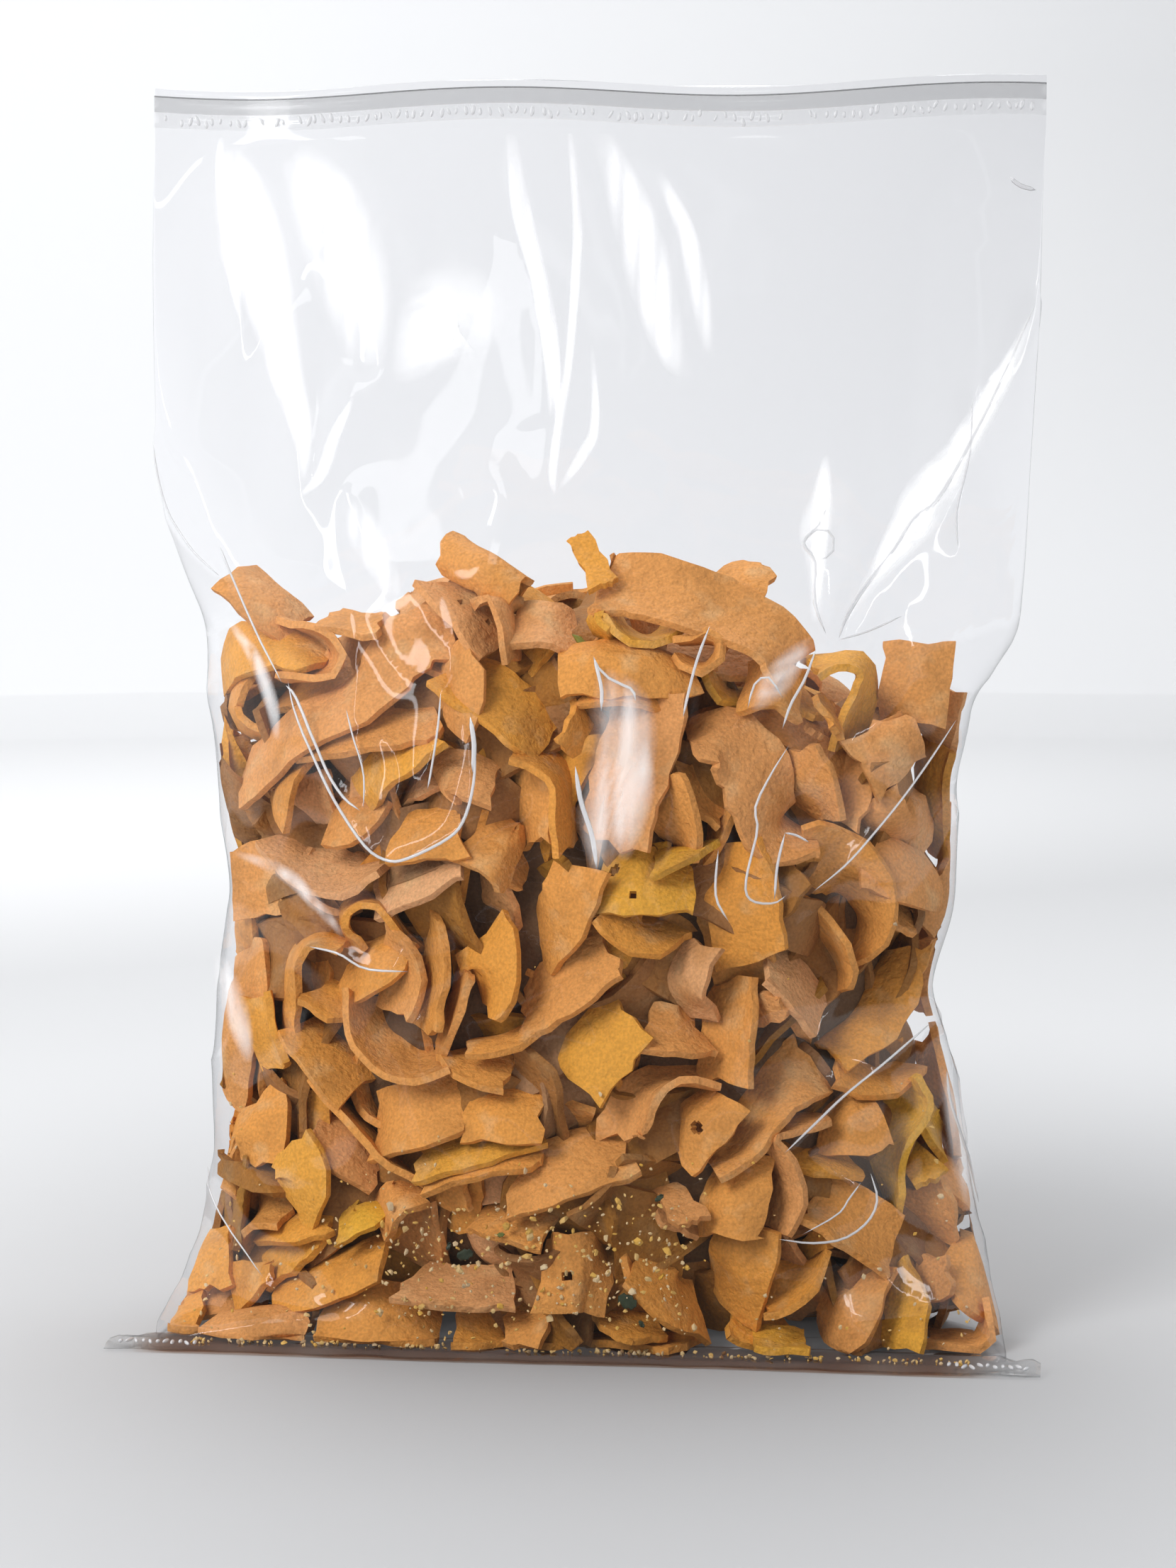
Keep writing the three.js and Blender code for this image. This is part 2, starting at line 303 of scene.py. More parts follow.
def fried_dough(name, depth=1.0):
    """The skin of a ribbon; `depth` below 1 darkens it as painted shade."""
    finish = new_finish(name)
    place = add_node(finish, "TexCoord").outputs["Object"]
    tone = add_node(finish, "Attribute", attribute_name="tone").outputs["Fac"]
    base = ramp_of(finish, tone, TONE_STOPS).outputs["Color"]
    patches, pale, grain, pores = (
        add_node(finish, "TexNoise", {"Vector": place, "Scale": scale, "Detail": detail}).outputs["Fac"]
        for scale, detail in ((75.0, 3.0), (110.0, 3.0), (1300.0, 2.0), (430.0, 3.0))
    )
    brown = ranged(finish, patches, 0.5, 0.72, max=0.55)
    colour = mixed(finish, brown, base, (0.46, 0.20, 0.050))
    dusty = ranged(finish, pale, 0.55, 0.75, max=0.45)
    colour = mixed(finish, dusty, colour, (0.78, 0.52, 0.26))
    # The speckle of the grain is scaled down by `depth`, which is painted shade.
    speckle_and_painted_shade = ranged(finish, grain, 0.35, 0.65, min=0.88 * depth, max=1.10 * depth)
    grey = add_node(finish, "CombineColor", {"Red": speckle_and_painted_shade, "Green": speckle_and_painted_shade, "Blue": speckle_and_painted_shade})
    colour = mixed(finish, 1.0, colour, grey.outputs["Color"], "MULTIPLY")
    fine = add_node(finish, "Bump", {"Height": grain, "Strength": 0.5, "Distance": 0.0003})
    bumped = add_node(
        finish, "Bump",
        {"Height": ranged(finish, pores, 0.36, 0.56), "Strength": 0.45, "Distance": 0.0005,
         "Normal": fine.outputs["Normal"]},
    )
    skin = add_node(
        finish, "BsdfPrincipled",
        {"Base Color": colour, "Roughness": 0.62, "Specular IOR Level": 0.3,
         "Normal": bumped.outputs["Normal"]},
    )
    return surfaced(finish, skin)


dough = fried_dough("fried_dough")
# Darker copies for ribbons deep in the heap and for the core are painted shade.
inner_dough_painted_shade = fried_dough("inner_dough_painted_shade", depth=0.5)
core_dough_painted_shade = fried_dough("core_dough_painted_shade", depth=0.2)
print("dough finishes:", dough.name, inner_dough_painted_shade.name, core_dough_painted_shade.name)

# %% [markdown]
# The film is far thinner than a pixel, so it isn't glass with an inside: each wall lets most
# light straight through and mirrors the rest. A mirror share that grows towards the edge of
# sight (Layer Weight's Facing, raised to a power) works the same from both sides of the wall.

# %% Clear film
def film_surface(finish, mirror, rim, tint, roughness, haze_and_highlight_share):
    """Transparent and glossy by the angle of sight, with a share of lit white: real haze on a weld, and
    a painted highlight on folded film.
    """
    facing_share = add_node(finish, "LayerWeight", {"Blend": 0.5}).outputs["Facing"]
    grazing = add_node(finish, "Math", {0: facing_share, 1: 4.0}, operation="POWER").outputs[0]
    share = ranged(finish, grazing, 0.0, 1.0, min=mirror, max=rim)
    through = add_node(finish, "BsdfTransparent", {"Color": tint})
    if haze_and_highlight_share > 0:
        haze_and_painted_highlight = add_node(finish, "BsdfDiffuse", {"Color": (0.9, 0.9, 0.92, 1)})
        through = add_node(
            finish, "MixShader", {0: haze_and_highlight_share, 1: through.outputs[0], 2: haze_and_painted_highlight.outputs[0]},
        )
    gloss = add_node(finish, "BsdfGlossy", {"Color": (1, 1, 1, 1), "Roughness": roughness})
    both = add_node(finish, "MixShader", {0: share, 1: through.outputs[0], 2: gloss.outputs[0]})
    return surfaced(finish, both)


def clear_film(name, mirror, rim, tint, roughness, haze_and_highlight_share=0.0):
    """Film of one tint all over."""
    return film_surface(new_finish(name), mirror, rim, (*tint, 1), roughness, haze_and_highlight_share)


film_finish = clear_film("clear_film", 0.035, 0.45, (0.975, 0.975, 0.98), 0.04)
# Folded film is mostly lit white, a painted highlight along the creases, the crimps and the weld marks.
painted_highlight_film = clear_film("film_painted_highlight", 0.12, 0.5, (0.98, 0.98, 0.98), 0.12, haze_and_highlight_share=0.7)
weld_finish = clear_film("welded_film", 0.05, 0.6, (0.99, 0.99, 0.99), 0.07, haze_and_highlight_share=0.02)
print("film finishes:", film_finish.name, painted_highlight_film.name, weld_finish.name)

# %% [markdown]
# ## One ribbon
# A ribbon is a flat strip, mostly 14 to 20 mm wide and 2 mm thick. A bmesh grid is the flat
# strip, and its vertices are then moved onto a curled surface. Solidify gives it thickness and
# a subdivision surface rounds its broken edges, once for all ribbons of a batch. Hundreds of
# separate objects would do the same, but a batch is quicker to build and to export.

# %% Gather ribbons into batches
RIBBON_THICKNESS = 2.0
batches = {}


def new_grid(bm, rows, columns):
    """Adds a grid of rows by columns faces; gives each of its vertices with its (i, j)."""
    made = bmesh.ops.create_grid(bm, x_segments=rows, y_segments=columns, size=1)["verts"]
    return [
        (vertex, round((vertex.co.x + 1) / 2 * rows), round((vertex.co.y + 1) / 2 * columns))
        for vertex in made
    ]


def batch_mesh(batch):
    """The bmesh that collects one batch, with the layer that holds each ribbon's tone."""
    if batch not in batches:
        batches[batch] = bmesh.new()
        batches[batch].verts.layers.float.new("tone")
    return batches[batch]


def add_ribbon(batch, surface, tone, holes=()):
    """Adds one strip to a batch. `surface` is a grid of points in mm, along by across."""
    bm = batch_mesh(batch)
    layer = bm.verts.layers.float["tone"]
    grid = new_grid(bm, surface.shape[0] - 1, surface.shape[1] - 1)
    for vertex, i, j in grid:
        vertex.co = Vector(surface[i, j] * MM)
        vertex[layer] = tone
    for place, reach in holes:
        spot = Vector(place * MM)
        faces = {f for v, _, _ in grid if v.is_valid for f in v.link_faces}
        torn = [f for f in faces if (f.calc_center_median() - spot).length < reach * MM]
        bmesh.ops.delete(bm, geom=torn, context="FACES")


def spline(stations, count):
    """A smooth curve through the rows of `stations`, at `count` + 1 even steps."""
    stations = np.asarray(stations, float)
    ends = np.vstack([2 * stations[0] - stations[1], stations, 2 * stations[-1] - stations[-2]])
    at = np.linspace(0, len(stations) - 1, count + 1)
    span = np.minimum(at.astype(int), len(stations) - 2)
    t = (at - span)[:, None]
    a, b, c, d = (ends[span + k] for k in range(4))
    bow = (2 * a - 5 * b + 4 * c - d) * t**2 + (3 * b - a - 3 * c + d) * t**3
    return 0.5 * (2 * b + (c - a) * t + bow)


def unit(rows):
    return rows / np.maximum(np.linalg.norm(rows, axis=-1, keepdims=True), 1e-9)


# %% [markdown]
# A ribbon of the front is drawn by its middle line in the photograph, and by how wide it looks
# there. A strip that looks narrower than it is has been turned about its middle line, so the
# turn follows from its real width. Either edge could be the nearer one: a positive width turns
# the face towards the light, up and to the left, and a negative width turns it away.

# %% Surface of a ribbon that is placed by the photograph
TOWARDS_LIGHT = unit(np.array([-0.45, -0.2, 0.8]))
FILM_GAP = 0.6
SIDE_GAP = 2.2
HIDDEN_SHARE = 0.25


def placed_surface(stations, width, cup, behind, rows, columns):
    """Points in mm of a strip through stations of (across, down, seen width, depth)."""
    line = spline(stations, rows)
    centre = on_film(line[:, 0], line[:, 1], np.maximum(line[:, 3], 0) + behind)
    away = unit(centre - EYE / MM)
    along = unit(np.gradient(centre, axis=0))
    beside = unit(np.cross(away, along))
    inward = np.cross(along, beside)
    share = np.clip(np.abs(line[:, 2:3]) * PIXEL / MM / width, 0.12, 1.0)
    share = share + np.clip((share - 0.28) / 0.2, 0, 1) * (1 - share) * HIDDEN_SHARE
    turned = np.sqrt(1 - share**2)
    side = -1 if np.sum(turned * (beside @ TOWARDS_LIGHT)[:, None]) > 0 else 1
    lean = side * np.sign(line[:, 2:3]) * turned
    edge = share * beside - lean * inward
    normal = np.cross(along, edge)
    across = np.linspace(-0.5, 0.5, columns + 1)[None, :, None]
    if abs(cup) < 1:
        return centre[:, None] + across * width * edge[:, None]
    turn = math.radians(cup)
    radius = width / turn
    sideways = radius * np.sin(across * turn) * edge[:, None]
    return centre[:, None] + sideways + radius * (1 - np.cos(across * turn)) * normal[:, None]


def out_of_film(surface):
    """How many mm each point lies too near to or outside the film's front or back wall."""
    front, back = film_walls(surface[..., 0], np.clip(surface[..., 2], 0, HEIGHT))
    clear = FILM_GAP + RIBBON_THICKNESS / 2
    return np.maximum(front + clear - surface[..., 1], surface[..., 1] - back + clear)


def keep_inside(surface):
    """Moves points that lie outside the film straight back inside it, clear of its wall."""
    clear = FILM_GAP + RIBBON_THICKNESS / 2
    surface = surface.copy()
    surface[..., 2] = np.maximum(surface[..., 2], clear)
    left, right = cut_at(surface[..., 2])[:2]
    surface[..., 0] = np.clip(surface[..., 0], left + SIDE_GAP, right - SIDE_GAP)
    front, back = film_walls(surface[..., 0], surface[..., 2])
    middle = (front + back) / 2
    low, high = np.minimum(front + clear, middle), np.maximum(back - clear, middle)
    surface[..., 1] = np.clip(surface[..., 1], low, high)
    return surface


def normals_of(surface):
    along = np.gradient(surface, axis=0)
    across = np.gradient(surface, axis=1)
    return unit(np.cross(along, across))


def roughened(surface, rng, wobble=0.5, ragged=0.7):
    """Uneven edges, broken ends and a gently buckled face, as frying leaves them."""
    rows, columns = surface.shape[:2]
    along = unit(np.gradient(surface, axis=0))
    across = unit(np.gradient(surface, axis=1))
    normal = normals_of(surface)
    rough = surface.copy()
    rough[:, 0] += across[:, 0] * rng.normal(0, 0.4, (rows, 1))
    rough[:, -1] += across[:, -1] * rng.normal(0, 0.4, (rows, 1))
    slant = np.linspace(-1, 1, columns)[:, None]
    for end in (0, -1):
        jag = rng.normal(0, ragged, (columns, 1)) + slant * rng.normal(0, 1.3)
        rough[end] += along[end] * jag
    seed = Vector(rng.uniform(-50, 50, 3))
    for i in range(rows):
        for j in range(columns):
            lift = noise.noise(Vector(surface[i, j] * 0.12) + seed)
            rough[i, j] += normal[i, j] * lift * wobble * 2
    return rough


# %% [markdown]
# ## Room for every ribbon
# Two ribbons can't be in one place. The inside of the bag is divided into small cells, and each
# ribbon that is laid marks the cells that it fills. A new ribbon is first tried in its place,
# and then further and further back along the line of sight, where it still covers the same
# patch of the picture, so the likeness stays while the heap is real.

# %% Cells that ribbons fill
CELL = 1.5
CELLS_LOW = np.array([-HALF, -58.0, 0.0])
CELLS_HIGH = np.array([HALF, 58.0, 225.0])
filled = np.zeros(np.ceil((CELLS_HIGH - CELLS_LOW) / CELL).astype(int), bool)


def cells_of(points):
    """The indices of the cells in which points lie."""
    index = ((points - CELLS_LOW) / CELL).astype(int)
    return tuple(np.clip(index, 0, np.array(filled.shape) - 1).reshape(-1, 3).T)


def finer(surface, times=3):
    """The same surface with `times` as many steps each way."""
    for axis in (0, 1):
        count = surface.shape[axis] - 1
        at = np.linspace(0, count, count * times + 1)
        low = np.minimum(at.astype(int), count - 1)
        share = (at - low).reshape([-1 if k == axis else 1 for k in range(3)])
        surface = np.take(surface, low, axis) * (1 - share) + np.take(surface, low + 1, axis) * share
    return surface


def overlap_of(surface):
    return filled[cells_of(finer(surface))].mean()


def fill_cells(surface):
    fine = finer(surface, 4)
    normal = normals_of(fine)
    for lift in (-0.9, 0.0, 0.9):
        filled[cells_of(fine + normal * lift)] = True


SIGHT_CELL = 5
nearest = np.full((PHOTO_HEIGHT // SIGHT_CELL + 1, PHOTO_WIDTH // SIGHT_CELL + 1), np.inf)


def seen_by_camera(points):
    """The small squares of the picture where points in mm show, and how far away they are."""
    rays = (points.reshape(-1, 3) * MM - EYE) @ TURN
    down = (PHOTO_HEIGHT / 2 + rays[:, 1] / rays[:, 2] / SPAN) / SIGHT_CELL
    across = (PHOTO_WIDTH / 2 - rays[:, 0] / rays[:, 2] / SPAN) / SIGHT_CELL
    down = np.clip(down.astype(int), 0, nearest.shape[0] - 1)
    across = np.clip(across.astype(int), 0, nearest.shape[1] - 1)
    return (down, across), np.linalg.norm(rays, axis=-1)


def hides_of(points):
    """The share of points that lie in front of a ribbon that the photograph shows."""
    squares, distance = seen_by_camera(points)
    return float((np.isfinite(nearest[squares]) & (distance < nearest[squares] - 0.001)).mean())


# %% [markdown]
# A ribbon of the front gets up to sixteen tries, each a little further from the eye. The try
# that crosses other ribbons the least is kept, and going back has a small price, so that a
# ribbon doesn't sink deeper than it must. A little crossing is left where no place is free.

# %% Lay a ribbon that the photograph shows
LAY_TRIES = 16
LAY_STEP = 1.2
FREE_ENOUGH = 0.05
PUSH_COST = 0.012
ROW_LENGTH = 2.8
YELLOW_FROM, GOLDEN_FROM = 0.65, 0.42
SEEN_WIDER = 1.24
CUP_SPREAD = 34.0
BOW_DEPTH = 6.0
TILT_DEPTH = 3.0
TONE_MIDDLE, TONE_SPREAD = 0.44, 1.5
# Holes that gas blew in the dough: how far along and across the ribbon, and the radius in mm.
HOLES = {
    "holed_piece": ((0.55, 0.62, 1.4),),
    "yellow_block": ((0.18, 0.35, 1.7), (0.45, 0.70, 1.0)),
    "top_right_plate": ((0.35, 0.55, 1.3), (0.70, 0.35, 1.0)),
    "crumbly_disc": ((0.40, 0.55, 1.5),),
    "cratered_diamond": ((0.55, 0.45, 1.6),),
}


def lay_by_photograph(name, width, tone, depth, cup, stations):
    """Lays one ribbon of the front, and returns how far back it had to go."""
    rng = np.random.default_rng(sum(map(ord, name)) + len(name) * 1009)
    rows_of_four = []
    seen = stations[0][2]
    bow, tilt = rng.uniform(0, BOW_DEPTH), rng.normal(0, TILT_DEPTH)
    if cup == 0:
        cup = rng.normal(0, CUP_SPREAD)
    for number, station in enumerate(stations):
        seen = station[2] if len(station) > 2 else seen
        along = 2 * number / (len(stations) - 1) - 1
        deeper = max(0.0, bow * along**2 + tilt * along)
        rows_of_four.append((station[0], station[1], seen * SEEN_WIDER, deeper))
    steps = np.linalg.norm(np.diff(np.array(rows_of_four)[:, :2], axis=0), axis=1)
    rows = int(np.clip(steps.sum() * PIXEL / MM / ROW_LENGTH, 7, 24))
    columns = 9 if abs(cup) > 90 else 5
    behind = float(depth)
    surface = placed_surface(rows_of_four, width, cup, behind, rows, columns)
    behind += max(0.0, float(np.quantile(out_of_film(surface), 0.96)))
    tries = []
    for step in range(LAY_TRIES):
        surface = keep_inside(placed_surface(rows_of_four, width, cup, behind, rows, columns))
        tries.append((overlap_of(surface) + PUSH_COST * step, step, behind, surface))
        if tries[-1][0] < PUSH_COST * step + FREE_ENOUGH:
            break
        behind += LAY_STEP
    overlap, _, behind, surface = min(tries, key=lambda one: one[:2])
    surface = keep_inside(roughened(surface, rng))
    fill_cells(surface)
    squares, distance = seen_by_camera(finer(surface, 4))
    np.minimum.at(nearest, squares, distance)
    kind = "murukku_golden" if tone > GOLDEN_FROM else "murukku_tan"
    kind = "murukku_yellow" if tone > YELLOW_FROM else kind
    holes = []
    if name in HOLES:
        surface = finer(surface, 4)
        for along, across, radius in HOLES[name]:
            i, j = int(along * surface.shape[0]), int(across * surface.shape[1])
            holes.append((surface[i, j], radius))
    tone = TONE_MIDDLE + (tone - TONE_MIDDLE) * TONE_SPREAD + rng.normal(0, 0.14)
    add_ribbon(kind, surface, float(np.clip(tone, 0, 1)), holes)
    return overlap, behind


print("cells in the bag:", filled.size)

# %% [markdown]
# ## The ribbons that the photograph shows
# Each row is one ribbon: its name, its real width in mm, its tone, how far behind the film it
# starts in mm, how far it is rolled up across its width in degrees (0 leaves it to chance), and
# its middle line as (across, down, seen width) in pixels of the photograph. A station without a
# seen width keeps the one before it. Within each part of the heap they are laid from the front
# to the back, because the first that is laid gets the place nearest to the film.

# %% Upper left of the heap
UPPER_LEFT = {
    "left_roof": (16, 0.45, 3, 0, ((330, 808, 45), (375, 845, 48), (425, 885, 40))),
    "curl_hook": (15, 0.5, 0, 0, (
        (424, 888, 22), (457, 899), (480, 926), (464, 949), (411, 955, 16))),
    "left_under_fold": (16, 0.4, 5, 0, ((311, 937, 45), (346, 914), (403, 914), (449, 937, 30))),
    "long_band_upper": (17, 0.5, 0, 0, (
        (640, 892, 50), (598, 893, 60), (556, 925, 60), (529, 968, 45), (480, 1002, 40),
        (422, 1029, 38), (365, 1079, 32), (342, 1106, 24))),
    "band_under": (16, 0.35, 5, 0, ((407, 976, 35), (464, 964), (526, 949))),
    "mid_band": (16, 0.4, 3, 0, ((438, 1044, 30), (518, 1029, 36), (617, 1012, 34))),
    "left_loop": (15, 0.45, 8, 0, (
        (353, 949, 8), (335, 976), (332, 1006), (350, 1029), (376, 1039))),
    "left_tip": (14, 0.5, 6, 0, ((300, 1000, 20), (323, 1033, 24), (350, 1052, 22))),
    "left_band_down": (15, 0.4, 4, 0, ((418, 1079, 20), (399, 1113), (392, 1152))),
    "brown_plate": (16, 0.35, 10, 0, ((430, 1087, 45), (438, 1121), (449, 1159))),
    "sail": (17, 0.65, 2, 0, ((508, 1106, 48), (533, 1078, 46), (575, 1056, 35), (620, 1041, 15))),
    "arch_over_cavity": (15, 0.3, 4, 0, ((594, 1041, 15), (633, 1041), (659, 1064), (663, 1102))),
    "cube_loop": (16, 0.45, 3, 0, ((621, 1113, 40), (637, 1087), (671, 1094), (698, 1106))),
    "triangle_tip": (15, 0.45, 2, 0, ((468, 1163, 34), (499, 1152, 40), (537, 1121, 26))),
    "top_right_plate": (18, 0.35, 1, 0, ((629, 828, 40), (663, 865, 50), (698, 914, 40))),
    "fold_strip": (14, 0.4, 2, 0, ((698, 842, 18), (715, 853), (728, 930, 16))),
    "roll_top": (22, 0.45, 8, 250, ((637, 757, 44), (690, 788), (740, 822, 40))),
    "rib_left": (15, 0.35, 9, 0, ((568, 868, 20), (594, 845), (625, 822))),
    "rib_right": (15, 0.5, 8, 0, ((679, 826, 22), (732, 838), (782, 868))),
    "rib_lower": (16, 0.3, 10, 0, ((721, 888, 40), (770, 884), (816, 899))),
    "rib_corner": (15, 0.45, 7, 0, ((744, 907, 48), (759, 945))),
    "folded_plate_top": (18, 0.35, 0, 0, ((633, 933, 38), (644, 976), (633, 1014))),
    "folded_plate": (19, 0.5, 0, 0, ((640, 946, 58), (682, 976), (732, 1010), (774, 1044))),
    "horn_back": (15, 0.5, 1, 0, (
        (728, 1062, 16), (767, 1071, 22), (793, 1102), (797, 1152), (801, 1198))),
    "horn_front": (16, 0.5, 1, 0, ((736, 1080, 34), (751, 1129, 38), (755, 1190, 30))),
    "under_arch": (16, 0.45, 3, 0, ((560, 1178, 52), (614, 1175), (652, 1171))),
    "under_cube": (18, 0.45, 2, 0, ((671, 1178, 60), (709, 1198), (728, 1217))),
    "back_wedge": (16, 0.3, 12, 0, ((560, 900, 40), (640, 930), (690, 945))),
    "small_cup": (14, 0.5, 2, 90, ((806, 1012, 42), (828, 1040, 40))),
    "flap_a": (13, 0.4, 7, 0, ((464, 874, 20), (510, 880), (541, 880))),
    "flap_b": (13, 0.35, 8, 0, ((518, 884, 25), (495, 930))),
    "cavity_scrap": (12, 0.3, 12, 0, ((575, 1112, 22), (600, 1098), (622, 1090))),
}

# %% Middle left of the heap
MIDDLE_LEFT = {
    "boat": (18, 0.4, 0, 0, ((399, 1182, 45), (438, 1217, 62), (486, 1237, 45), (549, 1221, 15))),
    "shell": (16, 0.45, 1, 0, ((530, 1262, 45), (588, 1237), (652, 1201))),
    "beside_shell": (16, 0.45, 2, 0, ((667, 1182, 50), (707, 1205), (743, 1221))),
    "below_shell": (16, 0.4, 5, 0, ((675, 1233, 40), (699, 1269), (711, 1304))),
    "left_plate": (17, 0.35, 3, 0, ((351, 1190, 50), (359, 1237), (371, 1292))),
    "left_upright": (16, 0.4, 4, 0, (
        (351, 1336, 25), (355, 1395, 35), (331, 1466, 45), (320, 1545, 35))),
    "ring": (14, 0.55, 1, 0, ((501, 1332, 8), (484, 1300), (501, 1273), (533, 1273), (557, 1300))),
    "long_hook": (15, 0.5, 1, 0, (
        (494, 1332, 14), (450, 1320), (414, 1348), (406, 1403), (407, 1458), (430, 1506))),
    "in_hook": (15, 0.45, 3, 0, ((438, 1340, 35), (442, 1375), (438, 1407))),
    "boat_lower": (20, 0.35, 4, 0, ((434, 1443, 58), (466, 1486), (509, 1534))),
    "s_band": (16, 0.5, 0, 0, (
        (513, 1403, 38), (513, 1443, 40), (537, 1482, 42), (580, 1510, 30), (636, 1502, 20))),
    "tab": (14, 0.5, 1, 0, ((446, 1399, 36), (470, 1411), (497, 1411))),
    "bow_tie": (16, 0.45, 1, 0, ((490, 1379, 48), (525, 1360), (565, 1320, 34))),
    "fan_left": (16, 0.5, 1, 0, ((604, 1308, 25), (616, 1348), (608, 1403), (604, 1451))),
    "fan_middle": (17, 0.45, 2, 0, ((636, 1320, 40), (632, 1371), (616, 1427))),
    "fan_thin": (14, 0.5, 1, 0, ((660, 1371, 14), (644, 1419), (620, 1478))),
    "fan_cone": (19, 0.5, 0, 0, ((679, 1320, 70), (695, 1363, 60), (687, 1419, 18))),
    "thin_strip": (14, 0.45, 2, 0, ((592, 1395, 18), (588, 1443), (608, 1510))),
    "tube": (14, 0.4, 8, 200, ((679, 1454, 40), (699, 1435), (715, 1427))),
    "hook": (15, 0.5, 1, 0, ((667, 1472, 14), (715, 1466), (747, 1446), (753, 1427))),
    "cone_lower": (16, 0.45, 2, 0, ((652, 1486, 44), (675, 1502), (723, 1514))),
    "diamond_plate": (18, 0.5, 0, 0, ((822, 1225, 50), (798, 1280, 62), (766, 1332, 44))),
    "beside_diamond": (14, 0.5, 4, 0, ((727, 1344, 22), (754, 1360), (786, 1375))),
    "big_band": (19, 0.5, 1, 0, ((740, 1432, 44), (806, 1383, 62), (861, 1336, 60))),
    "lit_plate": (19, 0.6, 0, 0, ((889, 1430, 60), (853, 1466, 72), (812, 1524, 68))),
    "grainy_plate": (20, 0.35, 0, 0, ((538, 1590, 70), (588, 1573, 78), (652, 1554, 72))),
    "beside_grainy": (17, 0.5, 2, 0, ((660, 1569, 56), (711, 1569), (766, 1569))),
    "under_grainy": (15, 0.55, 2, 0, ((592, 1640, 34), (660, 1620), (762, 1589))),
    "under_grainy_low": (15, 0.5, 4, 0, ((612, 1656, 28), (691, 1632), (762, 1617))),
    "small_upright": (15, 0.4, 5, 0, ((628, 1656, 40), (632, 1702))),
    "cratered_band": (19, 0.35, 0, 0, ((722, 1678, 58), (794, 1648, 66), (885, 1622, 56))),
    "upright_oval": (16, 0.55, 1, 0, ((371, 1549, 40), (371, 1597, 54), (369, 1644, 40))),
    "left_low_plate": (17, 0.4, 3, 0, ((298, 1595, 46), (339, 1583, 50))),
    "broken_plate": (17, 0.45, 1, 0, ((410, 1616, 44), (426, 1664, 52), (418, 1704, 40))),
    "torn_plate": (17, 0.45, 1, 0, ((458, 1581, 46), (493, 1617, 60), (533, 1652, 46))),
    "long_thin_strip": (15, 0.45, 0, 0, (
        (458, 1537, 15), (494, 1577), (537, 1628), (604, 1668))),
    "yellow_strip": (15, 0.72, 1, 0, ((383, 1728, 32), (427, 1725), (467, 1714))),
    "yellow_curl": (13, 0.95, 1, 40, ((480, 1729, 28), (507, 1716), (522, 1702))),
    "beside_curl": (14, 0.5, 2, 0, ((537, 1719, 28), (557, 1692), (592, 1676))),
    "left_waist": (16, 0.35, 6, 0, ((344, 1250, 30), (338, 1310), (350, 1360))),
    "left_gap": (15, 0.4, 8, 0, ((400, 1500, 26), (380, 1450), (372, 1400))),
    "mid_gap": (16, 0.3, 9, 0, ((545, 1330, 34), (575, 1370), (560, 1430))),
}

